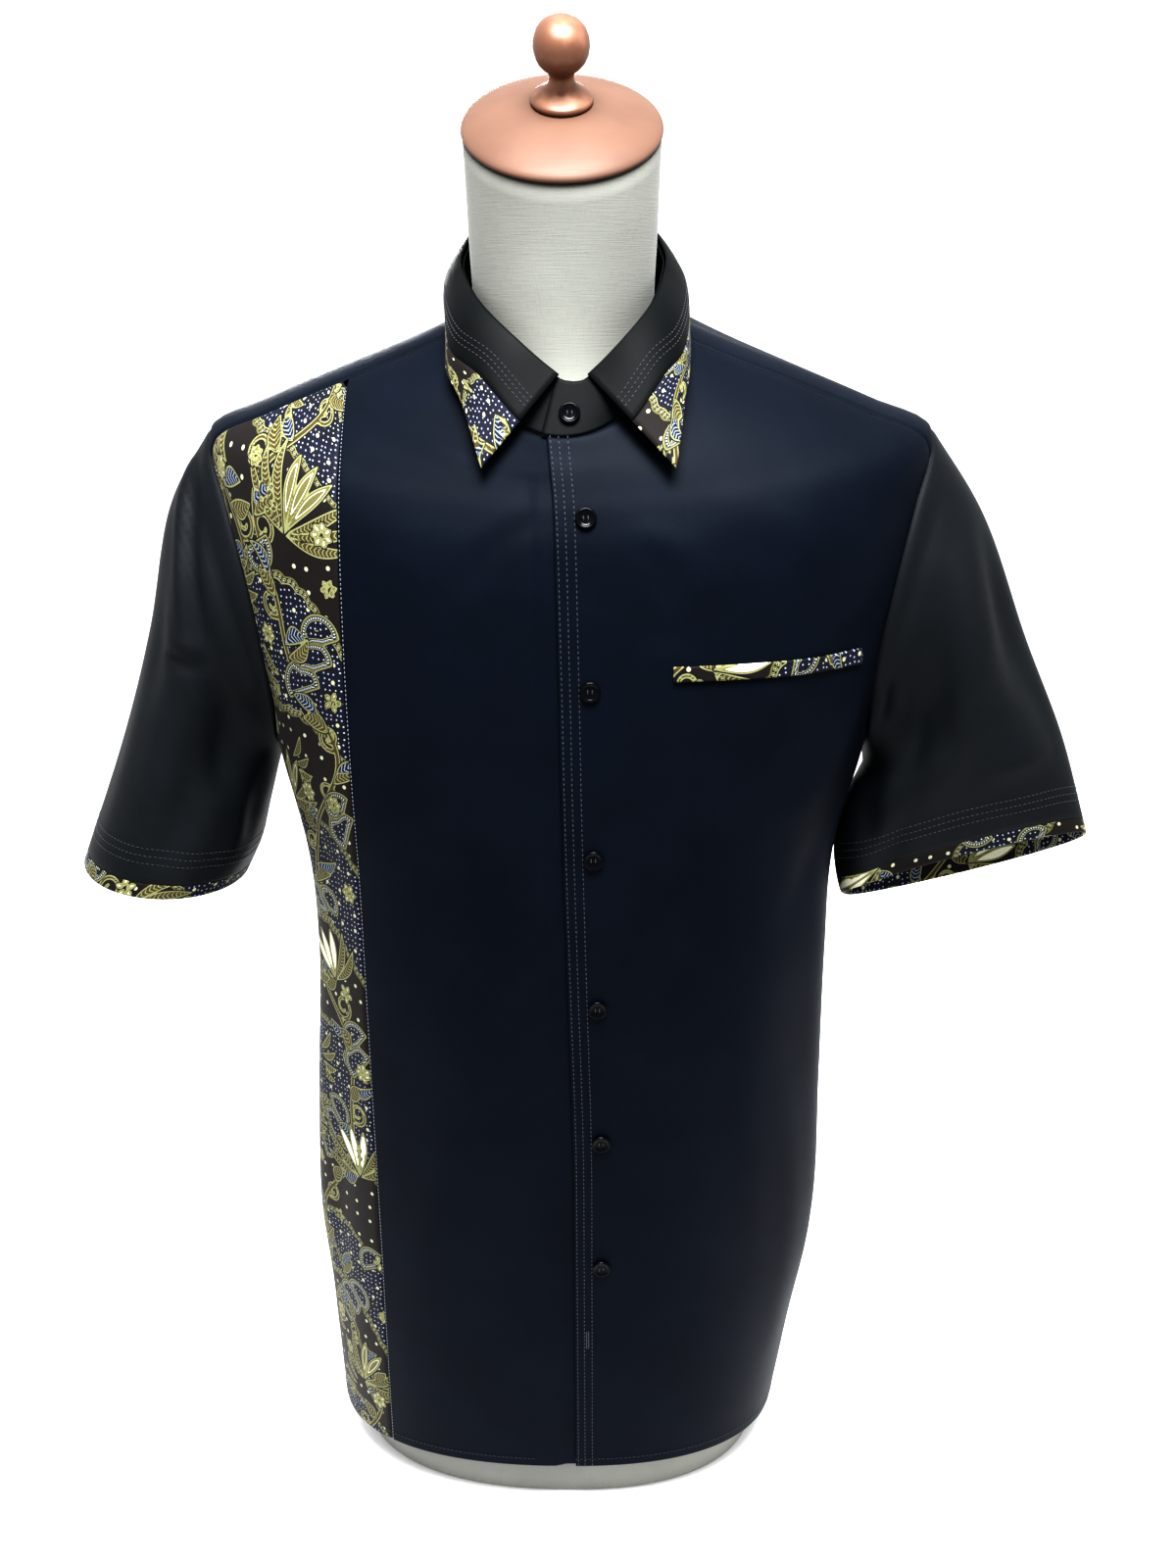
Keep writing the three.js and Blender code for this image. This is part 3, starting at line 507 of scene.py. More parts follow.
def crease_heights(points, normals, creases, surface):
    """Soft creases laid one by one: each is a ridge or trough along a bowed line, with its other side."""
    height = np.zeros(points.shape[:-1])
    t = np.linspace(0, 1, CREASE_PLACES)
    for crease in rows_of(creases):
        a = mix(crease.a, crease.a2, t) + crease.bow * np.sin(pi * t)
        line = surface(a, mix(crease.b, crease.b2, t))
        near, best, signed = np.full(height.shape, np.inf), np.zeros(height.shape), np.zeros(height.shape)
        for k in range(CREASE_PLACES - 1):
            way = line[k + 1] - line[k]
            part = np.clip(((points - line[k]) @ way) / (way @ way), 0, 1)
            away = points - line[k] - part[..., None] * way
            distance = np.linalg.norm(away, axis=-1)
            closer = distance < near
            near = np.where(closer, distance, near)
            best = np.where(closer, (k + part) / (CREASE_PLACES - 1), best)
            side = np.sign(np.sum(np.cross(way, normals) * away, axis=-1))
            signed = np.where(closer, side * distance, signed)
        swell = np.sin(pi * np.clip(best, 0, 1)) ** 0.8
        main = np.exp(-((signed / crease.width) ** 2))
        other = np.exp(-(((signed / crease.width - OTHER_SIDE.away) / OTHER_SIDE.wide) ** 2))
        height += crease.rise * swell * (main - crease.pair * other)
    return height


# Creases of the body: from place a, b (degrees round, level) to a2, b2, bowed sideways by some degrees.
BODY_CREASES = table(
    "a b a2 b2 bow width rise pair",
    (9, 716, 17, 640, 3, 7, 1.6, 0.5), (-4, 722, -13, 655, -2, 6, -1.0, 0.4),
    (24, 733, 40, 640, 3, 12, 1.4, 0.4), (62, 640, 30, 560, 3, 11, -1.3, 0.5),
    (66, 600, 40, 500, 4, 12, 1.5, 0.4), (70, 575, 46, 420, 4, 13, -1.3, 0.4),
    (-66, 610, -44, 520, -3, 11, 1.2, 0.4), (-70, 570, -52, 430, -4, 12, -1.2, 0.4),
    (-34, 690, -52, 600, -3, 12, -0.9, 0.3), (-22, 430, -34, 150, 4, 16, 1.3, 0.4),
    (30, 420, 44, 130, -4, 17, -1.2, 0.4), (52, 330, 60, 90, 3, 14, 1.5, 0.4),
    (-54, 330, -64, 80, -3, 14, -1.4, 0.4), (112, 640, 140, 540, 5, 12, -1.6, 0.5),
    (248, 640, 218, 545, -5, 12, -1.6, 0.5), (130, 600, 160, 420, 6, 16, 1.8, 0.4),
    (232, 600, 205, 400, -6, 16, 1.7, 0.4), (120, 330, 132, 90, 3, 15, -1.5, 0.4),
    (238, 350, 226, 110, -3, 15, -1.6, 0.4), (172, 500, 184, 250, 4, 18, 1.2, 0.4),
)
# Creases of the sleeves: from a, b (degrees round the sleeve, part of the way down) to a2, b2.
SLEEVE_CREASES = {
    1: table(
        "a b a2 b2 bow width rise pair",
        (35, 0.05, 104, 0.07, 0, 5, -2.2, 0.5), (58, 0.1, 124, 0.78, -8, 13, 3.0, 0.4),
        (112, 0.1, 128, 0.2, 0, 5, -3.0, 0.7), (84, 0.16, 98, 0.6, 4, 8, -2.0, 0.5),
        (88, 0.7, 36, 0.77, 3, 9, 2.0, 0.5), (20, 0.2, 50, 0.62, 5, 11, -2.2, 0.4),
        (152, 0.35, 134, 0.95, 6, 8, -2.2, 0.5), (244, 0.1, 262, 0.7, 6, 10, -3.0, 0.5),
        (286, 0.2, 268, 0.9, -6, 11, 2.4, 0.4), (222, 0.45, 238, 0.95, 5, 10, 2.0, 0.5),
        (330, 0.2, 316, 0.8, 5, 12, -2.0, 0.4), (178, 0.3, 182, 1.02, 0, 21, 13.0, 0.0),
    ),
    -1: table(
        "a b a2 b2 bow width rise pair",
        (10, 0.05, 93, 0.27, 0, 5, -3.8, 0.7), (94, 0.25, 58, 0.43, 4, 4.5, -3.0, 0.7),
        (58, 0.16, 50, 0.95, -6, 14, 2.6, 0.3), (86, 0.36, 92, 0.98, 6, 10, -2.4, 0.5),
        (34, 0.09, 128, 0.1, 0, 5, -2.0, 0.5), (120, 0.45, 106, 0.98, 5, 10, 2.0, 0.5),
        (152, 0.3, 140, 0.9, 5, 9, -1.8, 0.5), (244, 0.1, 262, 0.75, 6, 10, -3.0, 0.5),
        (290, 0.2, 270, 0.9, -6, 11, 2.6, 0.4), (214, 0.4, 236, 0.9, 5, 10, 2.0, 0.5),
        (328, 0.15, 318, 0.8, 5, 12, -2.2, 0.4),
    ),
}


def body_creases(points, normals):
    surface = lambda a, b: body(a * DEG, b)
    return crease_heights(points, normals, BODY_CREASES, surface)


def body_panel(name, phi, level, sides, material, column=0, sink=0, fields_of=None, wall=WALL):
    """A panel of the body on a grid of places, with its creases and its sewn edges."""
    phi, level, sink = np.broadcast_arrays(phi, level, sink)
    normals = body_normal(phi, level)
    points = body(phi, level, -sink)
    uv = measured(points, column)
    points = rolled(points + normals * body_creases(points, normals)[..., None], normals, sides)
    fields = fields_of(uv) if fields_of else None
    return shell(name, points, points - normals * wall, uv, material, fields=fields)


# ---------- the body's panels ----------
def side_rows(step, back=False):
    """Levels from the hem up, with phi of the side seam, the armhole and the yoke's front seam."""
    low = np.concatenate([HEM_LEVEL + ROLL_STEPS, np.arange(HEM_LEVEL + 6, UNDERARM_LEVEL - 2, step)])
    top = -YOKE_BACK_PSI if back else YOKE_FRONT_PSI
    psi = np.linspace(-pi if back else pi, top, int(200 / step))
    arm_phi, arm_level = armhole(1, psi)
    upper = [] if back else np.linspace(arm_level[-1], NECK_LEVEL - SEAM, int(160 / step))[1:]
    level = np.concatenate([low, arm_level, upper])
    phi = np.concatenate([np.full(len(low), pi / 2), arm_phi, np.full(len(upper), YOKE_FRONT)])
    return SimpleNamespace(level=level[:, None], phi=phi[:, None])


def batik_top_level():
    levels = np.linspace(YOKE_BACK_LEVEL, NECK_LEVEL, 2000)
    return levels[np.abs(phi_at_x(levels, BATIK_SEAM_X)) < YOKE_FRONT][-1]


BATIK_TOP_LEVEL = batik_top_level()
CLOTH_STEP = 6  # plain cloth's grid
PRINT_STEP = 1.6  # the printed cloth's finer grid
# About how wide each panel is across its grid.
SPAN = SimpleNamespace(front_left=190, front_right=110, side_front=105, back=450, yoke=130, collar_band=26)
# Columns in from the left front's edge, closer along the rolled edge and the placket's rows.
EDGE_OFFSETS = np.array([0, 0.6, 1.3, 2.2, 3.6, 4.6, 5.4, 6.2, 7.4, 9, 9.8, 10.6, 11.8, 14, 17, 21])


def front_left():
    """The left front laps over the right one; its edge is folded in."""
    rows = side_rows(CLOTH_STEP)
    edge_x = placket_x(rows.level) - OVERLAP
    edge = phi_at_x(rows.level, edge_x + EDGE_OFFSETS)
    side = beside(rows.phi, rows.level, -SEAM / 2)
    phi = np.hstack([edge, mix(edge[:, -1:], side, even(SPAN.front_left, CLOTH_STEP)[4:])])
    return body_panel("front_left_cloth", phi, rows.level, "right top", NAVY, wall=FOLDED)


def front_right():
    """The right front steps in and runs on under the left one."""
    rows = side_rows(CLOTH_STEP)
    sunk, step_start, step_length = FOLDED + 2 * SEAM, 16, 11
    at_seam = np.where(rows.level < BATIK_TOP_LEVEL, phi_at_x(rows.level, BATIK_SEAM_X), -YOKE_FRONT)
    over_edge = placket_x(rows.level) - OVERLAP
    step_in = phi_at_x(rows.level, over_edge - step_start)
    free = mix(beside(at_seam, rows.level, SEAM / 2), step_in, even(SPAN.front_right, CLOTH_STEP)[:-4])
    hidden_x = over_edge + np.array([-14, -12, -10, -8, -6.5, -5, -2, 4, 12, 20, 31])
    phi = np.hstack([free, phi_at_x(rows.level, hidden_x)])
    fall = smooth((hidden_x - over_edge + step_start) / step_length) * sunk
    fall = np.hstack([np.zeros_like(free), fall])
    return body_panel("front_right_cloth", phi, rows.level, "left top", NAVY, sink=fall)


def side_front_right():
    rows = side_rows(PRINT_STEP)
    low = (rows.level < BATIK_TOP_LEVEL - 2.5)[:, 0]
    level, side = rows.level[low], -rows.phi[low]
    seam = beside(phi_at_x(level, BATIK_SEAM_X), level, -SEAM / 2)
    phi = mix(beside(side, level, SEAM / 2), seam, even(SPAN.side_front, PRINT_STEP))
    drawn = lambda uv: draw_print(uv[..., 0], uv[..., 1])
    return body_panel("side_front_batik", phi, level, "left right top", BATIK, column=-1, fields_of=drawn)


def back():
    rows = side_rows(CLOTH_STEP, back=True)
    left, right = beside(rows.phi, rows.level, SEAM / 2), beside(2 * pi - rows.phi, rows.level, -SEAM / 2)
    phi = mix(left, right, even(SPAN.back, CLOTH_STEP))
    level = rows.level.copy()
    level[-1] -= SEAM
    return body_panel("back_cloth", phi, level, "left right top", NAVY)


def yoke():
    """The yoke, from its outer edge (over the armholes and along its seams) in to the neck."""
    psi = np.linspace(YOKE_FRONT_PSI, -YOKE_BACK_PSI, 22)
    arm_phi, arm_level = armhole(1, psi)
    part = np.linspace(0, 1, len(psi))
    seam = np.linspace(0, 1, 70)[1:-1]
    mirrored = lambda phi: np.concatenate([phi, mix(phi[-1], 2 * pi - phi[-1], seam), 2 * pi - phi[::-1]])
    outer_phi, neck_phi = mirrored(arm_phi), mirrored(mix(YOKE_FRONT, YOKE_NECK_BACK, part))
    outer_level = np.concatenate([arm_level, np.full(len(seam), YOKE_BACK_LEVEL), arm_level[::-1]])
    way_in = even(SPAN.yoke, CLOTH_STEP)[:, None]
    phi, level = mix(outer_phi, neck_phi, way_in), mix(outer_level, NECK_LEVEL - SEAM, way_in)
    phi[:, 0] = beside(phi[:, 0], level[:, 0], SEAM / 2)
    phi[:, -1] = beside(phi[:, -1], level[:, -1], -SEAM / 2)
    return body_panel("yoke_cloth", phi, level, "left right bottom", NAVY, column=len(neck_phi) // 2)


# ---------- sleeves ----------
def sleeve_shape(side, psi, t, out=0):
    """The sleeve's outer side with its creases."""
    points, normals = sleeve(side, psi, t, out), sleeve_normal(side, psi, t)
    surface = lambda a, b: sleeve(side, a * DEG, b)
    height = crease_heights(points, normals, SLEEVE_CREASES[side], surface) * smooth(t / 0.08)
    return points + normals * height[..., None]


def sleeve_cloth(side):
    psi = np.linspace(0, 2 * pi, 90, endpoint=False)[None, :]
    end = above_end(side, psi, SLEEVE_BAND + SEAM)
    down = np.concatenate([[0, 0.004, 0.009, 0.016, 0.027], np.linspace(0.04, 1, 46)])[:, None]
    down[-1] = 1
    t = down * end
    points, normals = sleeve_shape(side, psi, t), sleeve_normal(side, psi, t)
    uv = measured(np.hstack([points, points[:, :1]]))
    points = rolled(points, normals, "bottom", depth=1.3, width=2.0)
    # The sleeves wear the lighter copy of the navy: painted light.
    return shell(f"sleeve_{SIDES[side]}_cloth", points, points - normals * WALL, uv, SLEEVE_NAVY_LIT, loop=True)


def around(name, rings, uv, material, fields=None):
    """A ring with a closed section all along it: rings is (places round, section points, 3)."""
    index = grid(*rings.shape[:2], loop=True)
    faces, corners = quads(np.vstack([index, index[:1]]).T), quads(grid(*uv.shape[:2]).T)
    middle = rings.mean(axis=1, keepdims=True)
    across, along = rings[1:, :-1] - rings[:-1, :-1], rings[:-1, 1:] - rings[:-1, :-1]
    if np.sum(np.cross(across, along) * (rings - middle)[:-1, :-1]) < 0:
        faces, corners = faces[:, ::-1], corners[:, ::-1]
    corner_uv = uv.reshape(-1, 2)[corners]
    return mesh_piece(name, rings.reshape(-1, 3), faces.tolist(), material, corner_uv, fields)


def band_section():
    """The band's folded section: millimetres above the sleeve's end, under its side, along the cloth."""
    outer_bend, inner_bend, wall, straight = 1.2, 0.4, 0.8, 2.5
    turn = np.linspace(0, pi, 7)
    outside = [(up, 0) for up in np.linspace(SLEEVE_BAND, 2, 8)]
    outside += [(outer_bend * (1 - sin(a)), outer_bend * (1 - cos(a))) for a in turn]
    outside += [(up, 2 * outer_bend) for up in np.linspace(straight, SLEEVE_FACING, 16)]
    back = [(up, 2 * outer_bend - wall) for up in np.linspace(SLEEVE_FACING, straight, 9)]
    back += [(outer_bend - inner_bend * sin(a), outer_bend - inner_bend * cos(a)) for a in turn[::-2]]
    back += [(up, wall) for up in np.linspace(straight, SLEEVE_BAND, 5)]
    section = np.array(outside + back, float)
    along = section[:, 0] * np.where(section[:, 1] < outer_bend, -1, 1)
    return section[:, 0], section[:, 1], along


def sleeve_band(side):
    """The batik band goes round the sleeve's end and up inside it."""
    psi = np.linspace(0, 2 * pi, 240, endpoint=False)[:, None]
    up, depth, along = band_section()
    t = above_end(side, psi, up)
    rings = sleeve_shape(side, psi, t) - sleeve_normal(side, psi, t) * depth[:, None]
    fold = rings[:, 7]
    girth = np.linalg.norm(np.diff(np.vstack([fold, fold[:1]]), axis=0), axis=1).cumsum()
    uv = np.stack(together(np.append(0, girth)[:, None], along), -1)
    uv = np.concatenate([uv, uv[:, :1]], axis=1)
    fields = band_fields(uv[:-1, :-1], BAND_STARTS[SIDES[side]])
    return around(f"sleeve_band_{SIDES[side]}_batik", rings, uv, BATIK, fields)


# ---------- the batik's drawing ----------
# The print is drawn on the cloth as distances in millimetres to the nearest motif of each kind, below zero
# inside it. The batik finish turns them into outlines, fills, hatching and beads.
FAR = 20.0
MARGIN = 8  # how far beyond a motif its distance is drawn
MOTIFS = "ground ground_row stem leaf leaf_row leaf_kind petal petal_kind arc arc_row".split()
PARTED = ("leaf", "petal", "arc")  # motifs of these kinds keep an outline where they meet
# Where on the print each band that is cut along the cloth begins.
BAND_STARTS = {"left": 60, "right": 260, "collar": 130, "welt": 330}


class Drawing:
    def __init__(self, s, t):
        self.shape, self.s, self.t = s.shape, s.ravel(), t.ravel()
        self.fields = {name: np.full(self.s.size, FAR) for name in MOTIFS}
        self.second = {name: np.full(self.s.size, 2 * FAR) for name in PARTED}

    def near(self, s, t, reach):
        return np.flatnonzero((np.abs(self.s - s) < reach) & (np.abs(self.t - t) < reach))

    def lay(self, name, where, distance, **rows):
        first = self.fields[name][where]
        closer = distance < first
        if name in self.second:
            second = self.second[name][where]
            self.second[name][where] = np.where(closer, first, np.minimum(second, distance))
        self.fields[name][where] = np.minimum(first, distance)
        for row, values in rows.items():
            self.fields[row][where[closer]] = np.broadcast_to(values, distance.shape)[closer]

    def stroke(self, s, t, wide):
        """A brush stroke through points, as wide at each as wide says."""
        for k in range(len(s) - 1):
            ds, dt = s[k + 1] - s[k], t[k + 1] - t[k]
            where = self.near(s[k], t[k], np.hypot(ds, dt) + MARGIN)
            from_s, from_t = self.s[where] - s[k], self.t[where] - t[k]
            part = np.clip((from_s * ds + from_t * dt) / (ds * ds + dt * dt), 0, 1)
            away = np.hypot(from_s - part * ds, from_t - part * dt)
            self.lay("stem", where, away - mix(wide[k], wide[k + 1], part) / 2)

    def blade(self, name, s, t, turn, long, wide, bend, blunt=1.0, kind=0.0):
        """A leaf or petal: its foot, the way it points, its length, width and bend, and how blunt it is."""
        where = self.near(s, t, long + MARGIN)
        ds, dt = self.s[where] - s, self.t[where] - t
        along, across = ds * cos(turn) + dt * sin(turn), dt * cos(turn) - ds * sin(turn)
        part = np.clip(along / long, 0, 1)
        across = across - bend * np.sin(pi * part)
        inside = (np.abs(across) - wide / 2 * np.sin(pi * part**blunt)) * 0.85
        beyond = np.hypot(np.where(along < 0, along, along - long), across)
        distance = np.where((along < 0) | (along > long), beyond, inside)
        rows = {"petal_kind": kind}
        if name == "leaf":
            rows = {"leaf_row": along - np.abs(across) * 0.9, "leaf_kind": kind}
        self.lay(name, where, distance, **rows)

    def spiral(self, s, t, turn, radius, hand, wide=2.6):
        """A tendril that leaves a stem at s, t and curls up on itself."""
        steps = np.linspace(0, 1, 20)
        angle = turn + hand * (pi / 2 + steps * 2.5 * pi)
        shrink = radius * (1 - 0.7 * steps)
        s, t = s - radius * np.cos(angle[0]), t - radius * np.sin(angle[0])
        self.stroke(s + shrink * np.cos(angle), t + shrink * np.sin(angle), mix(wide, 1.8, steps))

    def flower(self, s, t, radius, petals):
        """A small flower of round petals about a dark heart."""
        for k in range(petals):
            turn = 2 * pi * k / petals + s
            foot = s + 0.9 * cos(turn), t + 0.9 * sin(turn)
            self.blade("petal", *foot, turn, radius, radius * 0.6, 0, 1.25, kind=1.0)

    def plume(self, s, t, turn, long, count, hand):
        """A spray: petals in the middle, long hatched leaves beside them."""
        for k in range(count):
            part = k / (count - 1) - 0.5
            length = long * (1 - 0.6 * part * part)
            bend = 4.0 * hand * (0.5 + abs(part))
            way = turn + hand * part * 2.3
            if abs(part) < 0.2:
                self.blade("petal", s, t, way, length, 7.0, bend * 0.5, 1.35, kind=2.0 * (hand < 0))
            else:
                self.blade("leaf", s, t, way, length * 1.12, 6.0, bend * np.sign(part), 1.1)

    def scale(self, s, t, radius, turn):
        """A fan of arcs, open at its foot."""
        where = self.near(s, t, radius + 6)
        ds, dt = self.s[where] - s, self.t[where] - t
        away, angle = np.hypot(ds, dt), np.arctan2(dt, ds) - turn
        angle = (angle + pi) % (2 * pi) - pi
        behind = -np.cos(angle) * away - radius * 0.35
        self.lay("arc", where, np.maximum(away - radius, behind), arc_row=angle * radius)

    def finished(self):
        for name, second in self.second.items():
            first = self.fields[name]
            self.fields[name] = np.maximum(first, -0.6 * (second - first))
        return {name: values.reshape(self.shape) for name, values in self.fields.items()}


def stem_s(t):
    """How far the main stem swings out at a height."""
    return -34 + 21 * np.sin(2 * pi * t / 236 + 0.6) + 6 * np.sin(2 * pi * t / 97)


# Where the drawing's large motifs lie on the cloth, in millimetres from the front seam and the hem.
PLUMES = table(
    "s t turn long count hand",
    (-24, 40, 70, 36, 6, 1), (-72, 132, 112, 32, 6, -1), (-14, 214, 104, 38, 7, -1),
    (-30, 352, 118, 36, 7, -1), (-62, 470, 76, 34, 6, 1), (-34, 634, 62, 46, 9, 1),
    (-88, 690, 100, 30, 6, -1),
)
SCALES = table(
    "s t radius turn",
    (-46, 92, 13, 60), (-36, 104, 13, 60), (-25, 112, 12, 60), (-8, 148, 12, 120), (-52, 226, 14, 20),
    (-42, 240, 14, 20), (-36, 254, 13, 20), (-88, 318, 14, 60), (-10, 300, 13, 140), (-12, 316, 13, 140),
    (-58, 396, 13, 80), (-46, 402, 13, 80), (-34, 404, 12, 80), (-8, 462, 13, 160), (-10, 476, 12, 160),
    (-30, 552, 14, 110), (-20, 566, 14, 110), (-14, 581, 13, 110), (-84, 520, 14, 60),
    (-56, 622, 12, 300), (-96, 90, 14, 40), (-92, 640, 14, 200),
)


def draw_print(s, t):
    """The whole drawing: two stems up the cloth with tendrils, leaves, sprays, scales and flowers."""
    drawing = Drawing(s, t)
    lean = 0.5 * drawing.s + 0.86 * drawing.t + 9 * np.sin(drawing.s / 17) + 6 * np.sin(drawing.t / 26)
    cross = 0.86 * drawing.s - 0.5 * drawing.t
    drawing.fields["ground"] = np.abs((lean + 30) % 124 - 62) - 34 + 1.6 * np.abs(np.sin(pi * cross / 10.2))
    drawing.fields["ground_row"] = cross

    heights = np.arange(-60, 860, 5.0)
    stems = [lambda t, shift=shift: stem_s(t + 1.7 * shift) + shift for shift in (0, -62)]
    for stem in stems:
        drawing.stroke(stem(heights), heights, np.full(len(heights), 3.0))
    dice = np.random.default_rng(11)
    for k, node in enumerate(np.arange(-40, 850, 37.0)):
        hand = 1 if k % 2 else -1
        for stem in stems:
            turn, radius = radians(90 - hand * dice.uniform(35, 75)), dice.uniform(6.5, 9.5)
            drawing.spiral(stem(node), node, turn, radius, -hand)
            for pair in (0, 1):
                at = node + 13 + 9 * pair + dice.uniform(-3, 3)
                turn = radians(90 + hand * dice.uniform(30, 80))
                size = [dice.uniform(*ends) for ends in ((16, 24), (7, 10), (-4, 4), (0.75, 1.0))]
                drawing.blade("leaf", stem(at), at, turn, *size, kind=pair)
    for k, node in enumerate(np.arange(-30, 850, 52.0)):
        side, foot = (1 if k % 2 else -1), stem_s(node) - 31
        for leaf in range(4):
            turn = radians(90 + side * (118 - 26 * leaf))
            at = foot + side * 2.0 * leaf, node + 4.0 * leaf
            drawing.blade("leaf", *at, turn, 13 + 3.0 * leaf, 4.6, 2.5 * side)
    for row in rows_of(PLUMES):
        drawing.plume(row.s, row.t, radians(row.turn), row.long, int(row.count), row.hand)
    for row in rows_of(SCALES):
        drawing.scale(row.s, row.t, row.radius, radians(row.turn))
    for k, node in enumerate(np.arange(-20, 840, 62.0)):
        for lane in (-8, -50, -92):
            at = lane + dice.uniform(-14, 14), node + dice.uniform(-26, 26)
            drawing.flower(*at, dice.uniform(4.5, 6.5), 5 + k % 3)
    return drawing.finished()


def band_fields(uv, start):
    """The print on a band that is cut along the cloth: its length lies up the drawing."""
    return draw_print(-uv[..., 1] - 24, uv[..., 0] + start)


# ---------- finishes ----------
def linear(red, green, blue):
    """A colour given as screen values from 0 to 255."""
    curve = lambda c: c / 12.92 if c <= 0.04045 else ((c + 0.055) / 1.055) ** 2.4
    return tuple(curve(c / 255) for c in (red, green, blue)) + (1.0,)


def maths(operation, turned=False):
    """A sum of sockets and numbers; turned puts its own socket last."""

    def result(socket, *others):
        values = (*others, socket) if turned else (socket, *others)
        return socket.finish.node("ShaderNodeMath", {"operation": operation}, *values)

    return result


class Socket:
    """A shader socket that can be used in an expression."""

    def __init__(self, finish, link):
        self.finish, self.link = finish, link

    __add__ = __radd__ = maths("ADD")
    __sub__, __rsub__ = maths("SUBTRACT"), maths("SUBTRACT", turned=True)
    __mul__ = __rmul__ = maths("MULTIPLY")
    __truediv__, __mod__ = maths("DIVIDE"), maths("FLOORED_MODULO")
    __gt__, __abs__ = maths("GREATER_THAN"), maths("ABSOLUTE")


sine, floor = maths("SINE"), maths("FLOOR")


class Finish:
    """A material's node tree."""

    def __init__(self, name):
        self.material = bpy.data.materials.new(name)
        self.material.use_nodes = True
        self.tree = self.material.node_tree
        self.shader = self.tree.nodes["Principled BSDF"]

    def node(self, kind, settings=None, *values, output=0, **named):
        """Adds a node: its settings first, then the values or links of its sockets; returns an output."""
        node = self.tree.nodes.new(kind)
        for key, value in (settings or {}).items():
            setattr(node, key, value)
        inputs = [(node.inputs[i], value) for i, value in enumerate(values)]
        for key, value in named.items():
            inputs.append((next(s for s in node.inputs if key in (s.identifier, s.name)), value))
        for socket, value in inputs:
            self.feed(socket, value)
        return Socket(self, node.outputs[output])

    def feed(self, socket, value):
        if isinstance(value, Socket):
            self.tree.links.new(value.link, socket)
        elif value is not None:
            socket.default_value = value

    def set(self, **values):
        """Sets the shader's own sockets."""
        for key, value in values.items():
            self.feed(self.shader.inputs[key.replace("_", " ")], value)
        return self.material

    def colour(self, a, b, mask):
        """Colour a, or b where the mask is 1."""
        named = {"Factor_Float": mask, "A_Color": a, "B_Color": b}
        return self.node("ShaderNodeMix", {"data_type": "RGBA"}, output=2, **named)

    def tones(self, a, b, value, low, high):
        """From tint a to tint b as a value goes from low to high."""
        return self.colour(linear(*a), linear(*b), self.step(value, low, high))

    def length(self, x, y):
        return self.node("ShaderNodeVectorMath", {"operation": "LENGTH"}, self.at(x, y), output=1)

    def cloth_uv(self):
        """The cloth's own coordinates in millimetres: along, up, and as one vector."""
        vector = self.node("ShaderNodeUVMap", {"uv_map": "cloth"})
        along, up, _ = self.parts(vector)
        return along, up, vector

    def parts(self, vector):
        split = self.tree.nodes.new("ShaderNodeSeparateXYZ")
        self.feed(split.inputs[0], vector)
        return [Socket(self, output) for output in split.outputs]

    def at(self, x, y, z=0.0):
        return self.node("ShaderNodeCombineXYZ", None, x, y, z)

    def noise(self, vector, scale, detail=2.0):
        return self.node("ShaderNodeTexNoise", Vector=vector, Scale=scale, Detail=detail)

    def object_place(self):
        return self.node("ShaderNodeTexCoord", output=3)

    def streaks(self, *scale):
        """Noise that is drawn out along the object's own axes."""
        return self.noise(self.node("ShaderNodeMapping", None, self.object_place(), Scale=scale), 1.0)

    def step(self, value, low, high):
        """0 below low and 1 above high, or the other way round where low is above high."""
        settings = {"interpolation_type": "SMOOTHSTEP"}
        return self.node("ShaderNodeMapRange", settings, value, low, high, 0.0, 1.0)

    def bump(self, height, distance, strength):
        return self.node("ShaderNodeBump", Height=height, Distance=distance, Strength=strength)


YARN = 0.62  # millimetres from yarn to yarn


def weave(along, up):
    """Plain weave: how high its crossing yarns stand."""
    return sine(along * (2 * pi / YARN)) * sine(up * (2 * pi / YARN))


def navy_cotton(name, tint, gloss):
    """Very dark cotton with a close weave and a few thick yarns."""
    finish = Finish(name)
    along, up, cloth = finish.cloth_uv()
    slub = finish.noise(finish.at(along * 0.35, up * 2.2), 1.0, 3.0)
    tone = finish.noise(cloth, 0.018, 3.0)
    colour = finish.tones(tint, [c * 1.12 + 1 for c in tint], tone, 0.3, 0.75)
    colour = finish.colour(colour, linear(*(c * 0.7 for c in tint)), finish.step(slub, 0.52, 0.75) * 0.5)
    normal = finish.bump(weave(along, up) * 0.35 + slub * 0.6, 0.00012, 0.5)
    rough = 0.46 + slub * 0.08
    return finish.set(Base_Color=colour, Roughness=rough, Normal=normal, Specular_IOR_Level=gloss)


INK = {name: linear(*tint) for name, *tint in (
    ("navy", 13, 15, 32), ("night", 9, 10, 18), ("brown", 20, 16, 15), ("olive", 80, 78, 48),
    ("gold", 108, 108, 76), ("cream", 178, 177, 158), ("white", 136, 142, 148), ("blue", 108, 118, 128),
    ("pearl", 144, 144, 122), ("bronze", 54, 47, 26),
)}


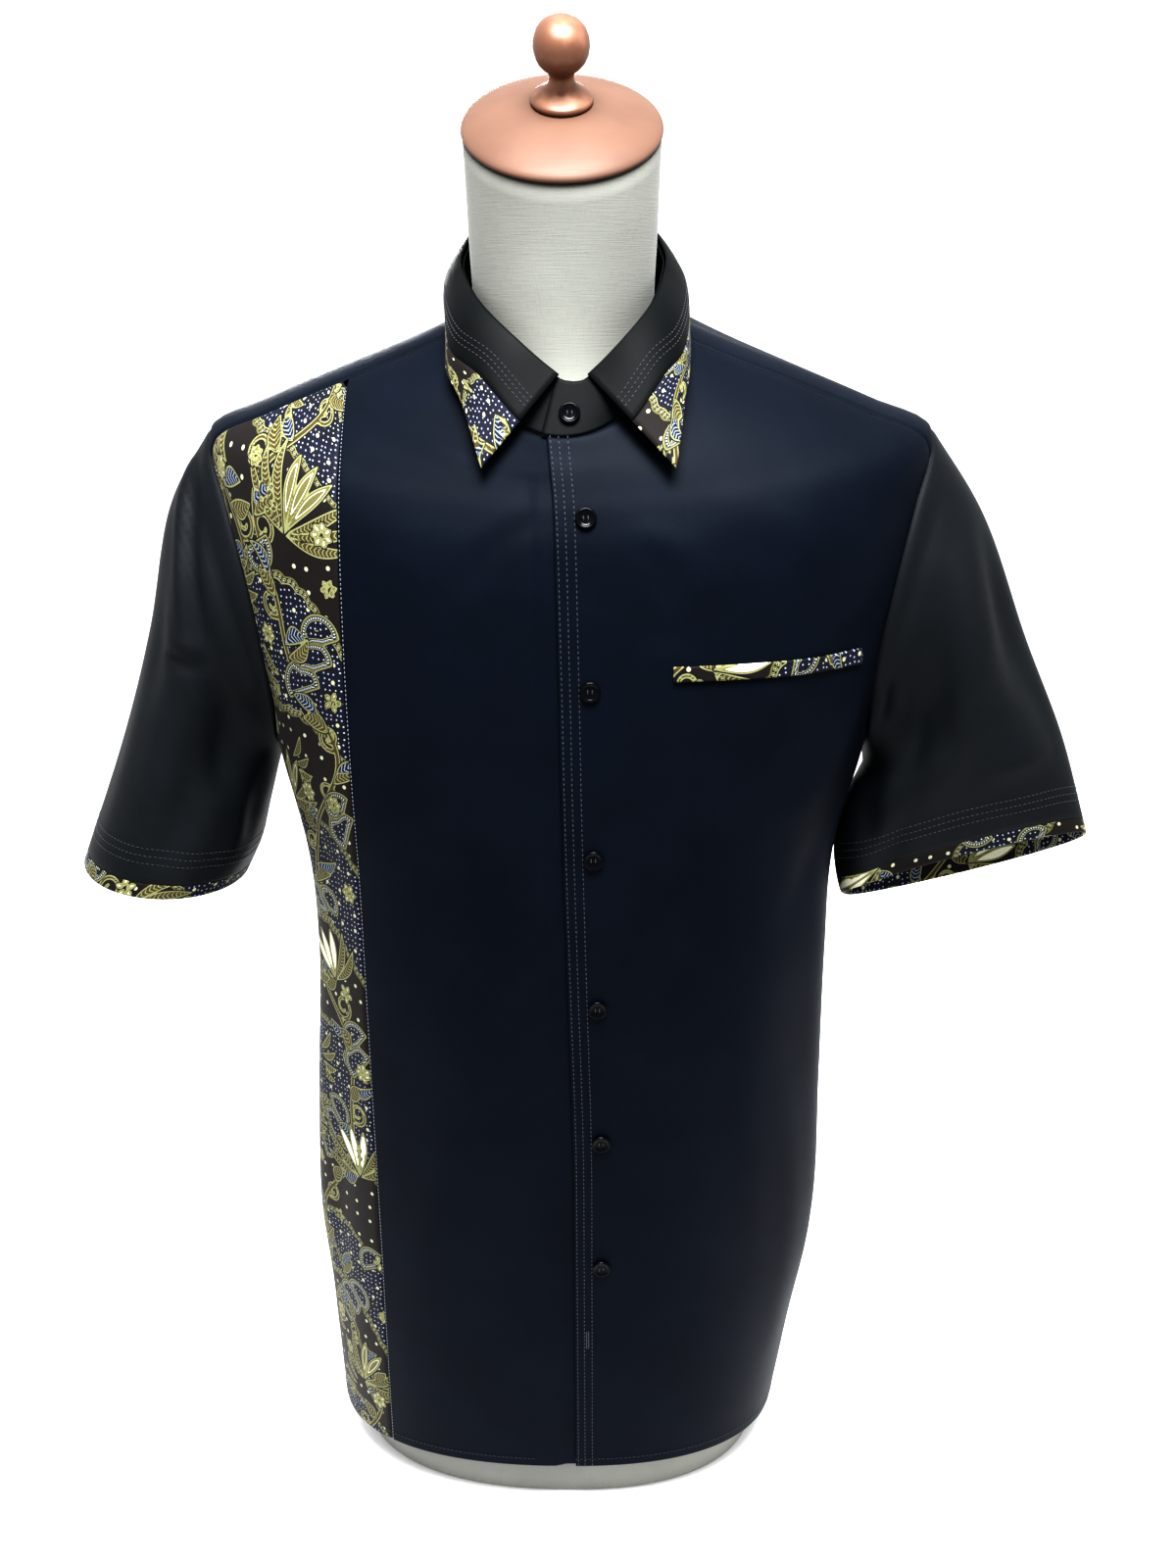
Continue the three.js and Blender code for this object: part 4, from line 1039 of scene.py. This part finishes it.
def batik_cotton():
    """The print, from its drawing's distances, on close cotton."""
    finish = Finish("batik cotton")
    along, up, cloth = finish.cloth_uv()
    field = SimpleNamespace(**{
        name: finish.node("ShaderNodeAttribute", {"attribute_name": name}, output=2) for name in MOTIFS
    })
    inside = lambda distance, edge=0.0: finish.step(distance, edge + 0.13, edge - 0.13)

    def within(distance, low, high):
        """1 where a distance lies between two values."""
        half = (high - low) / 2
        return finish.step(abs(distance - (low + half)), half + 0.1, half - 0.1)

    def dots(pitch, radius, halo):
        """Round dots, one to a cell and off its middle, and a soft ring about each."""
        cell = finish.at(floor(along / pitch), floor(up / pitch))
        toss = finish.node("ShaderNodeTexWhiteNoise", {"noise_dimensions": "2D"}, Vector=cell, output=1)
        shift = [(part - 0.5) * (pitch * 0.4) for part in finish.parts(toss)[:2]]
        away = finish.length(along % pitch - pitch / 2 - shift[0], up % pitch - pitch / 2 - shift[1])
        return finish.step(away, radius + 0.18, radius - 0.18), finish.step(away, radius + halo, radius)

    def stripes(value, share):
        """Lines 2.6 mm apart that take up a share of it."""
        half = 2.6 * share / 2
        return finish.step(abs(value % 2.6 - 1.3), half + 0.12, half - 0.12)

    def lay(colour, *layers):
        """Inks or colours laid one on another, each where its mask is 1."""
        for ink, mask in layers:
            colour = finish.colour(colour, INK[ink] if isinstance(ink, str) else ink, mask)
        return colour

    wash = finish.noise(cloth, 0.06, 3.0)
    ground, stem, arc, leaf, petal = field.ground, field.stem, field.arc, field.leaf, field.petal
    small, _ = dots(3.5, 0.52, 0.3)
    pearl, halo = dots(12.5, 1.3, 0.9)
    loop = finish.length(field.ground_row % 3.1 - 1.55, ground - 2.2)
    bead = finish.length(field.arc_row % 2.0 - 1.0, arc + 2.0)
    dotted = lay(INK["navy"], ("night", finish.step(wash, 0.4, 0.7)), ("white", small))
    rays = lay(INK["bronze"], ("gold", stripes(field.arc_row, 0.4)))
    hatched = lay(INK["navy"], ("blue", stripes(field.leaf_row, 0.34)))
    filled = lay(INK["bronze"], ("gold", stripes(field.leaf_row, 0.3)))
    blade = lay(hatched, (filled, finish.step(field.leaf_kind, 0.6, 0.4)))
    colour = lay(
        dotted,
        ("brown", inside(ground)), ("night", halo), ("pearl", pearl),
        ("night", within(ground, -0.6, 4.9)), ("olive", within(ground, -0.2, 0.9)),
        ("gold", within(ground, 3.6, 4.3)), ("gold", within(loop, 0.75, 1.25)), ("cream", inside(loop, 0.3)),
        ("night", inside(stem, 1.0)), ("gold", inside(stem, 0.3)), ("bronze", inside(stem, -0.55)),
        ("night", inside(arc, 0.9)), ("gold", inside(arc, 0.2)), ("olive", inside(arc, -0.35)),
        ("night", inside(arc, -1.1)), ("white", inside(bead, 0.62)), ("gold", within(arc, -3.5, -3.0)),
        (dotted, inside(arc, -3.7)), ("gold", inside(arc, -8.0)), (rays, inside(arc, -8.5)),
        ("night", inside(leaf, 1.0)), ("gold", inside(leaf, 0.35)),
        ("night", inside(leaf, -0.4)), (blade, inside(leaf, -0.6)),
        ("night", inside(petal, 0.9)), ("gold", inside(petal, 0.25)), ("olive", inside(petal, -0.4)),
        ("cream", within(petal, -1.5, -1.15)),
        ("pearl", inside(petal, -0.75) * (field.petal_kind > 0.5)),
        ("cream", inside(petal, -0.75) * (field.petal_kind > 1.5)),
        ("night", finish.step(finish.noise(cloth, 0.9), 0.45, 0.8) * 0.25),
    )
    yarn = weave(along, up)
    return finish.set(
        Base_Color=colour, Roughness=0.66 + yarn * 0.03, Normal=finish.bump(yarn * 0.4 + wash, 0.00012, 0.5),
        Sheen_Weight=0.03, Sheen_Roughness=0.5, Specular_IOR_Level=0.15,
    )


def linen_cover():
    """Grey-white linen stretched over the form."""
    finish = Finish("linen cover")
    threads = finish.streaks(900, 900, 60) + finish.streaks(60, 60, 1500)
    tone = finish.noise(finish.object_place(), 14.0, 3.0)
    colour = finish.tones((108, 109, 105), (115, 116, 111), tone, 0.3, 0.7)
    colour = finish.colour(colour, linear(98, 99, 95), finish.step(threads, 1.0, 1.5) * 0.35)
    return finish.set(
        Base_Color=colour, Roughness=0.86, Normal=finish.bump(threads, 0.0003, 0.35),
        Sheen_Weight=0.12, Specular_IOR_Level=0.25,
    )


def rose_gold():
    """Copper-coloured metal, softly brushed."""
    finish = Finish("rose gold")
    brushed = finish.streaks(30, 30, 900)
    cloudy = finish.noise(finish.object_place(), 30.0, 3.0)
    colour = finish.tones((88, 68, 58), (82, 63, 54), cloudy, 0.3, 0.75)
    return finish.set(
        Base_Color=colour, Metallic=0.1, Roughness=0.42 + brushed * 0.12 + cloudy * 0.06,
        Normal=finish.bump(brushed, 0.0001, 0.15), Specular_IOR_Level=0.2,
    )


def dark_bronze():
    finish = Finish("dark bronze")
    worn = finish.noise(finish.object_place(), 60.0, 4.0)
    colour = finish.tones((104, 76, 62), (132, 98, 80), worn, 0.45, 0.75)
    normal = finish.bump(worn, 0.0001, 0.2)
    return finish.set(Base_Color=colour, Metallic=0.5, Roughness=0.36 + worn * 0.15, Normal=normal)


HOLE_AWAY = 1.25  # millimetres from a button's middle to its holes, both ways


def button_plastic():
    """Glossy navy plastic with four holes painted on its face, near-black inside as painted shade; its UV
    map is the button's face in millimetres.
    """
    finish = Finish("button plastic")
    along, up, face = finish.cloth_uv()
    hole = finish.step(finish.length(abs(along) - HOLE_AWAY, abs(up) - HOLE_AWAY), 0.72, 0.5)
    swirl = finish.noise(face, 0.5, 3.0)
    colour = finish.tones((4, 5, 9), (8, 11, 18), swirl, 0.4, 0.8)
    # Each hole is painted near-black: painted shade in a hole the mesh doesn't cut.
    colour = finish.colour(colour, linear(3, 3, 5), hole)
    normal = finish.bump(1 - hole, 0.0006, 0.8)
    return finish.set(Base_Color=colour, Roughness=0.18 + hole * 0.5, Normal=normal, Specular_IOR_Level=0.14)


def thread(name, tint):
    """Twisted sewing thread."""
    finish = Finish(name)
    twist = finish.noise(finish.object_place(), 3000.0, 1.0)
    colour = finish.tones(tint, [c * 0.7 for c in tint], twist, 0.4, 0.7)
    return finish.set(
        Base_Color=colour, Roughness=0.5 + twist * 0.15, Normal=finish.bump(twist, 0.0001, 0.4),
        Sheen_Weight=0.2, Specular_IOR_Level=0.4,
    )


NAVY = navy_cotton("navy cotton", (12, 17, 25), 0.06)
# A darker, less blue copy of the same navy for the collar: partly the collar's own tint, partly painted
# shade, above all on the stand under the collar leaves.
COLLAR_NAVY_SHADED = navy_cotton("collar cotton painted darker", (13, 15, 16), 0.07)
# A lighter, greyer copy of the same navy for the sleeves: painted light and sheen, not a cloth of its own
# colour.
SLEEVE_NAVY_LIT = navy_cotton("navy cotton painted lighter for sleeves", (18, 21, 24), 0.13)
BATIK = batik_cotton()
LINEN = linen_cover()
ROSE_GOLD = rose_gold()
DARK_BRONZE = dark_bronze()
BUTTON_PLASTIC = button_plastic()


# ---------- collar and pocket ----------
COLLAR_TURNS = np.linspace(LEAF_START, 360 - LEAF_START, 150)
COLLAR_TURNS = np.where(COLLAR_TURNS <= 180, -COLLAR_TURNS, 360 - COLLAR_TURNS)[None, :]


def collar_piece(name, w, material, sides, fields_of=None):
    points, normals = collar_point(COLLAR_TURNS, w), -collar_normal(COLLAR_TURNS, w)
    uv = measured(points)
    points = rolled(points, normals, sides, depth=0.5, width=1.0)
    fields = fields_of(uv) if fields_of else None
    return shell(name, points, points - normals * COLLAR_CLOTH, uv, material, fields=fields, bulge=0.5)


def collar():
    start, gap = between(COLLAR, np.abs(COLLAR_TURNS)).band, SEAM / 2 / COLLAR_WIDTH
    down = np.concatenate([[0, 0.03, 0.07], np.linspace(0.14, 0.9, 8), [0.96, 0.985, 1]])[:, None]
    # The fall wears the darker collar copy: partly its own tint, partly painted shade.
    fall = collar_piece("collar_fall_cloth", down * (start - gap), COLLAR_NAVY_SHADED, "top")
    w = mix(start + gap, 1, even(SPAN.collar_band, PRINT_STEP)[:, None])
    fields_of = lambda uv: band_fields(uv, BAND_STARTS["collar"])
    return fall, collar_piece("collar_band_batik", w, BATIK, "bottom", fields_of)


def collar_stand():
    turn = np.linspace(-STAND.under, 360 - STAND.over, 170)[None, :]
    up = np.array([0, 0.04, 0.12, 0.3, 0.5, 0.7, 0.88, 0.96, 1])[:, None]
    turn, up = together(turn, up)
    outer, inner = stand_point(turn, up, 0), stand_point(turn, up, COLLAR_CLOTH)
    # The stand wears the darker collar copy: painted shade under the collar leaves.
    return shell("collar_stand_cloth", outer, inner, measured(outer), COLLAR_NAVY_SHADED, bulge=0.4)


def cloth_at(phi, level, out=0.0):
    """A place on the creased body, moved out by some millimetres."""
    phi, level = together(phi, level)
    points, normals = body(phi, level), body_normal(phi, level)
    return points + normals * (body_creases(points, normals) + out)[..., None]


def pocket_welt():
    level = WELT.level + np.linspace(-0.5, 0.5, 9)[:, None] * WELT.height
    phi = phi_at_x(level, np.linspace(WELT.from_x, WELT.to_x, 76)[None, :])
    outer, inner = cloth_at(phi, level, 2 * SEAM + WELT.cloth), cloth_at(phi, level, 0.1)
    uv = measured(outer)
    return shell("pocket_welt_batik", outer, inner, uv, BATIK, fields=band_fields(uv, BAND_STARTS["welt"]))


# ---------- buttons ----------
def axes_on(axis):
    """Three axes at right angles, the last along the one given."""
    z = np.asarray(axis, float)
    x = unit(np.cross([0, 0, 1.0], z)) if abs(z[0]) > 1e-6 else np.array([1.0, 0, 0])
    return np.stack([x, np.cross(z, x), z])


def turned_piece(name, profile, sides, place, axis, material, flatten=1.0):
    """A turned piece: a profile of (radius, height) on a place, along an axis; its UV map is its face."""
    angle = np.linspace(0, 2 * pi, sides, endpoint=False)
    radius, height = np.array(profile, float).T[:, :, None]
    local = xyz(radius * np.cos(angle), radius * np.sin(angle) * flatten, height)
    return ringed_piece(name, local @ axes_on(axis) + place, material, local.reshape(-1, 3)[:, :2])


def tube(points, radius, sides):
    """Rings of points round a short line."""
    points = np.asarray(points, float)
    way = unit(np.gradient(points, axis=0))
    across = unit(np.cross(way, [0.3, 0.2, 0.93]))
    angle = np.linspace(0, 2 * pi, sides, endpoint=False)[:, None, None]
    rings = points + radius * (np.cos(angle) * across + np.sin(angle) * np.cross(way, across))
    return rings.swapaxes(0, 1)


BUTTON_PROFILE = [
    (0.4, 0.3), (4.2, 0.32), (5.4, 0.75), (5.8, 1.35), (5.78, 1.9), (5.5, 2.35), (5.05, 2.58), (4.6, 2.5),
    (4.15, 2.15), (3.6, 1.85), (2.6, 1.72), (1.2, 1.7), (0.4, 1.7),
]
# A thread from one hole to the next: places across the button's face, and heights.
THREAD_ARC = np.array([(-HOLE_AWAY, 1.2), (-0.9, 1.95), (0, 2.1), (0.9, 1.95), (HOLE_AWAY, 1.2)])


def button(name, place, axis):
    """A four-hole button and the thread through its holes."""
    sides = 6
    rings = [
        tube(xyz(across, *THREAD_ARC.T) @ axes_on(axis) + place, 0.33, sides).reshape(-1, 3)
        for across in (-HOLE_AWAY, HOLE_AWAY)
    ]
    faces = quads(grid(len(THREAD_ARC), sides, loop=True))
    faces = np.concatenate([faces, faces + len(rings[0])]).tolist()
    face = turned_piece(name, BUTTON_PROFILE, 36, place, axis, BUTTON_PLASTIC)
    return face, mesh_piece(name + "_thread", np.concatenate(rings), faces, NAVY_THREAD)


def buttons():
    place = stand_point(np.array(COLLAR_BUTTON.turn), np.array(COLLAR_BUTTON.up), 0)
    axis = (0, -cos(COLLAR_BUTTON.tilt), sin(COLLAR_BUTTON.tilt))
    made = {"button_collar": button("button_collar_face", place, axis)}
    for number, level in enumerate(BUTTON_LEVELS, 1):
        phi, name = phi_at_x(level, placket_x(level)), f"button_{number}"
        made[name] = button(name + "_face", cloth_at(phi, level), body_normal(phi, level))
    return made


# ---------- dress form ----------
FORM_ROWS, FORM_SIDES = 110, 96


def linen_form():
    """The form's torso and neck in one cover, smooth through its rings, closed at both ends."""
    phi = np.linspace(0, 2 * pi, FORM_SIDES, endpoint=False)
    ease = lambda level: body_normal(phi, level) * between(FORM_EASE, level).ease
    torso = [plain_body(phi, level) - ease(level) for level in FORM_LEVELS]
    base = torso[0] * [1, 1, 0]
    stations = [base, *torso]
    for row in rows_of(NECK):
        across, depth, tilt = row.wide * np.sin(phi), row.deep * np.cos(phi), row.tilt * DEG
        stations.append(xyz(NECK_X + across, row.y - depth * cos(tilt), row.z - depth * sin(tilt)))
    rings = through(np.stack(stations), np.linspace(0, 1, FORM_ROWS)[:, None] * np.ones(FORM_SIDES))
    foot, top = base * [0.985, 0.985, 1], rings[-1]
    lid = [mix(top, top.mean(axis=0), part) for part in (0.02, 0.5)]
    rings = np.stack([foot * 0.5, foot, base + [0, 0, 1.5], *rings[2:], *lid])
    return ringed_piece("linen_form", rings, LINEN)


# The cap's upper side: parts of its rim's radius, and heights.
CAP_SLOPE = [
    (0.965, 5.8), (0.93, 7), (0.88, 8.4), (0.82, 9.9), (0.74, 11.5), (0.65, 13.1), (0.54, 14.6),
    (0.42, 15.9), (0.3, 16.7),
]
FINIAL_PROFILE = [
    (1, 17.1), (16.4, 17.1), (17, 17.7), (17, 19.4), (16.3, 20.3), (14.2, 21.6), (11, 23.5), (8.2, 25.8),
    (7, 28), (6.6, 31), (7.6, 33.4), (10.4, 35.6), (13, 38.6), (14.6, 42), (15.2, 46), (14.8, 50),
    (13.2, 54), (10.4, 57.2), (6.6, 59.3), (1, 60),
]


def neck_cap():
    """The neck's cap, its rim hollowed underneath, and the finial on it."""
    end = rows_of(NECK)[-1]
    place, tilt, flatten = np.array([NECK_X, end.y, end.z]), end.tilt * DEG, end.deep / end.wide
    axis = (0, -sin(tilt), cos(tilt))
    rim = end.wide + 0.8
    profile = [
        (1, 0.4), (rim - 3.6, 0.4), (rim - 3.6, 1.5), (rim - 1.6, 1.6), (rim - 0.5, 2.0), (rim, 2.9),
        (rim, 3.7), (rim - 0.5, 4.6), *((rim * part, up) for part, up in CAP_SLOPE), (1, 16.8),
    ]
    cap = turned_piece("rose_gold_cap", profile, 96, place, axis, ROSE_GOLD, flatten)
    return cap, turned_piece("bronze_finial", FINIAL_PROFILE, 48, place, axis, DARK_BRONZE, flatten)


# ---------- sewing ----------
def stitch_tree():
    """Geometry nodes: a row of thread stitches along every line of a mesh."""
    tree = bpy.data.node_groups.new("row of stitches", "GeometryNodeTree")
    face = tree.interface
    face.new_socket("Geometry", in_out="INPUT", socket_type="NodeSocketGeometry")
    for name, default in (("Pitch", 0.003), ("Length", 0.002), ("Thread", 0.0003)):
        face.new_socket(name, in_out="INPUT", socket_type="NodeSocketFloat").default_value = default
    face.new_socket("Finish", in_out="INPUT", socket_type="NodeSocketMaterial")
    face.new_socket("Geometry", in_out="OUTPUT", socket_type="NodeSocketGeometry")

    def add(kind, inputs=None, **settings):
        node = tree.nodes.new(kind)
        for key, value in settings.items():
            setattr(node, key, value)
        for key, value in (inputs or {}).items():
            node.inputs[key].default_value = value
        return node

    given, result = add("NodeGroupInput"), add("NodeGroupOutput")
    line = add("GeometryNodeMeshToCurve")
    points = add("GeometryNodeCurveToPoints", mode="LENGTH")
    turn = add("FunctionNodeAlignRotationToVector", axis="Z")
    bead = add("GeometryNodeMeshUVSphere", {"Segments": 6, "Rings": 4, "Radius": 1.0})
    smooth_bead = add("GeometryNodeSetShadeSmooth")
    half = add("ShaderNodeMath", {1: 0.5}, operation="MULTIPLY")
    size = add("ShaderNodeCombineXYZ")
    laid = add("GeometryNodeInstanceOnPoints")
    real = add("GeometryNodeRealizeInstances")
    finish = add("GeometryNodeSetMaterial")
    for a, output, b, input_ in (
        (given, "Geometry", line, "Mesh"), (line, "Curve", points, "Curve"),
        (given, "Pitch", points, "Length"), (points, "Tangent", turn, "Vector"), (given, "Length", half, 0),
        (given, "Thread", size, "X"), (given, "Thread", size, "Y"), (half, 0, size, "Z"),
        (bead, "Mesh", smooth_bead, "Geometry"),
        (smooth_bead, "Geometry", laid, "Instance"), (points, "Points", laid, "Points"),
        (turn, "Rotation", laid, "Rotation"), (size, "Vector", laid, "Scale"),
        (laid, "Instances", real, "Geometry"), (real, "Geometry", finish, "Geometry"),
        (given, "Finish", finish, "Material"), (finish, "Geometry", result, "Geometry"),
    ):
        tree.links.new(a.outputs[output], b.inputs[input_])
    return tree


def stitches(name, lines, finish, pitch=3.0, length=2.0, radius=0.28):
    """Rows of stitches along lines of points in millimetres."""
    points = np.concatenate(lines) * MM
    edges, start = [], 0
    for line in lines:
        edges += [(start + i, start + i + 1) for i in range(len(line) - 1)]
        start += len(line)
    mesh = bpy.data.meshes.new(name)
    mesh.from_pydata(points.tolist(), edges, [])
    guide = new_object(name + "_guide", mesh)
    modifier = guide.modifiers.new("stitches", "NODES")
    modifier.node_group = STITCH_TREE
    values = {"Pitch": pitch * MM, "Length": length * MM, "Thread": radius * MM, "Finish": finish}
    for item in STITCH_TREE.interface.items_tree:
        if item.in_out == "INPUT" and item.name in values:
            modifier[item.identifier] = values[item.name]
    evaluated = guide.evaluated_get(bpy.context.evaluated_depsgraph_get())
    sewn = new_object(name, bpy.data.meshes.new_from_object(evaluated))
    bpy.data.objects.remove(guide)
    return sewn


PLACKET_ROWS = [1.5, 6, 11]  # millimetres in from the left front's edge
COLLAR_ROWS = [8, 11, 14]  # millimetres above the collar band's seam
SLEEVE_ROWS = [23, 28, 33]  # millimetres above the sleeve's end
SEAM_ROW = 1.8  # millimetres in from the side-front seam
HEM_ROW = 6.5  # millimetres above the hem
LIFT = 0.12  # how far stitches lie off the cloth


def sewing():
    level = np.linspace(HEM_LEVEL + 2, NECK_LEVEL - 2, 260)
    edge = placket_x(level) - OVERLAP
    rows = [cloth_at(phi_at_x(level, edge + row), level, LIFT) for row in PLACKET_ROWS]
    made = [stitches("placket_stitches", rows, GREY_THREAD)]

    low = level[level < BATIK_TOP_LEVEL - 3]
    seam = beside(phi_at_x(low, BATIK_SEAM_X), low, SEAM_ROW)
    line = cloth_at(seam, low, LIFT)
    made.append(stitches("side_seam_stitches", [line], PALE_THREAD, pitch=2.6, length=1.7, radius=0.3))

    made.append(stitches("collar_stitches", [collar_row(row) for row in COLLAR_ROWS], GREY_THREAD))
    psi = np.linspace(0, 2 * pi, 200)
    for side, name in SIDES.items():
        rows = [sleeve_shape(side, psi, above_end(side, psi, row), LIFT) for row in SLEEVE_ROWS]
        made.append(stitches(f"sleeve_{name}_stitches", rows, GREY_THREAD))

    hem = HEM_LEVEL + HEM_ROW
    start = beside(phi_at_x(hem, placket_x(hem) - OVERLAP), hem, 0.5)
    line = cloth_at(np.linspace(start, 2 * pi - 0.12, 300), hem, LIFT)
    made.append(stitches("hem_stitches", [line], NAVY_THREAD))
    made.append(buttonhole())
    return made


def collar_row(above):
    turn = COLLAR_TURNS[0][1:-1]
    row = between(COLLAR, np.abs(turn))
    wide = np.hypot(np.hypot(row.fold_x - row.edge_x, row.fold_y - row.edge_y), row.fold_z - row.edge_z)
    w = row.band - above / wide
    return collar_point(turn, w) - collar_normal(turn, w) * LIFT


def buttonhole():
    """The lowest buttonhole: a bar of close stitches with no button on it."""
    at = np.linspace(BUTTONHOLE.low, BUTTONHOLE.high, 5)
    middle = placket_x(at) + BUTTONHOLE.from_placket
    lines = [cloth_at(phi_at_x(at, middle + way * BUTTONHOLE.half), at, 0.1) for way in (-1, 1)]
    return stitches("buttonhole_stitches", lines, GREY_THREAD, pitch=0.8, length=1.0, radius=0.4)


# ---------- floor, light and camera ----------
def area_light(name, place, target, power):
    light = bpy.data.lights.new(name, "AREA")
    light.shape, light.size, light.size_y = "RECTANGLE", 0.9, 0.6
    light.energy, light.spread = power, radians(75)
    obj = new_object(name, light)
    obj.location = place
    obj.rotation_euler = (Vector(target) - Vector(place)).to_track_quat("-Z", "Y").to_euler()


def stage():
    """A pale floor under a pale background, soft light, and the camera."""
    finish = Finish("pale floor")
    grain = finish.noise(finish.object_place(), 6.0, 3.0)
    tone = finish.tones((244, 244, 245), (247, 247, 247), grain, 0.3, 0.7)
    pale = finish.set(Base_Color=tone, Roughness=0.9, Normal=finish.bump(grain, 0.0002, 0.1))
    half, below = 9000.0, -0.4
    corners = [(-half, -half, below), (half, -half, below), (half, half, below), (-half, half, below)]
    mesh_piece("floor", corners, [[0, 1, 2, 3]], pale)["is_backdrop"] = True

    scene = bpy.context.scene
    world = bpy.data.worlds.new("pale room")
    world.use_nodes = True
    background = world.node_tree.nodes["Background"]
    background.inputs["Color"].default_value, background.inputs["Strength"].default_value = (1, 1, 1, 1), 1.0
    scene.world = world
    scene.view_settings.view_transform = "Standard"
    scene.view_settings.look = "Very High Contrast"
    area_light("key", (0.05, -0.62, 1.8), (0, -0.05, 0.66), 14)
    area_light("back", (-0.3, 1.9, 1.1), (0, 0.05, 0.45), 6)

    camera = bpy.data.cameras.new("camera")
    camera.sensor_width, camera.lens = 36, 33.75
    scene.camera = new_object("camera", camera)
    scene.camera.location = (0.010, -0.896, 0.820)
    scene.camera.rotation_euler = (radians(70), 0, 0)


# ---------- assembly ----------
def place(obj, slot, *nodes):
    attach(obj, "root")
    if nodes:
        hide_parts(*nodes)
    return obj


GREY_THREAD = thread("grey thread", (25, 29, 38))
PALE_THREAD = thread("pale thread", (104, 108, 116))
NAVY_THREAD = thread("navy thread", (8, 11, 19))
STITCH_TREE = stitch_tree()

# Each sewn piece: its node, its cut's width and length in metres and its area where that isn't a rectangle.
CUTS = {
    "front_left_cloth": ("front_left", (0.245, 0.76), 0.166),
    "front_right_cloth": ("front_right", (0.19, 0.76), 0.118),
    "side_front_batik": ("side_front_right", (0.125, 0.73), 0.07),
    "back_cloth": ("back", (0.5, 0.7), 0.303),
    "yoke_cloth": ("yoke", (0.47, 0.17), 0.054),
    "sleeve_left_cloth": ("sleeve_left", (0.44, 0.24), 0.068),
    "sleeve_right_cloth": ("sleeve_right", (0.44, 0.24), 0.07),
    "sleeve_band_left_batik": ("sleeve_band_left", (0.37, 0.036), None),
    "sleeve_band_right_batik": ("sleeve_band_right", (0.39, 0.036), None),
    "collar_fall_cloth": ("collar_fall", (0.4, 0.04), None),
    "collar_band_batik": ("collar_band", (0.44, 0.03), 0.0066),
    "collar_stand_cloth": ("collar_stand", (0.39, 0.042), None),
    "pocket_welt_batik": ("pocket_welt", (0.118, 0.011), None),
}


def build():
    sewn = [front_left(), front_right(), side_front_right(), back(), yoke(), pocket_welt()]
    sewn += [sleeve_cloth(1), sleeve_cloth(-1), sleeve_band(1), sleeve_band(-1), *collar(), collar_stand()]
    form = place(linen_form(), "linen", "form_torso")
    for piece in sewn:
        node, flat, area = CUTS[piece.name]
        place(piece, "batik_cotton" if piece.name.endswith("batik") else "navy_cotton", node)
    for node, (face, thread_piece) in buttons().items():
        place(face, "button_plastic", node)
        place(thread_piece, "navy_cotton")
    for piece in sewing():
        place(piece, "navy_cotton")
    cap, finial = neck_cap()
    place(cap, "rose_gold", "neck_cap")
    place(finial, "dark_metal", "neck_finial")


build()
stage()
box = lambda corners: [list(map(float, corner)) for corner in corners]
{"cad": box(CAD_BOX), "visual": box(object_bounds())}
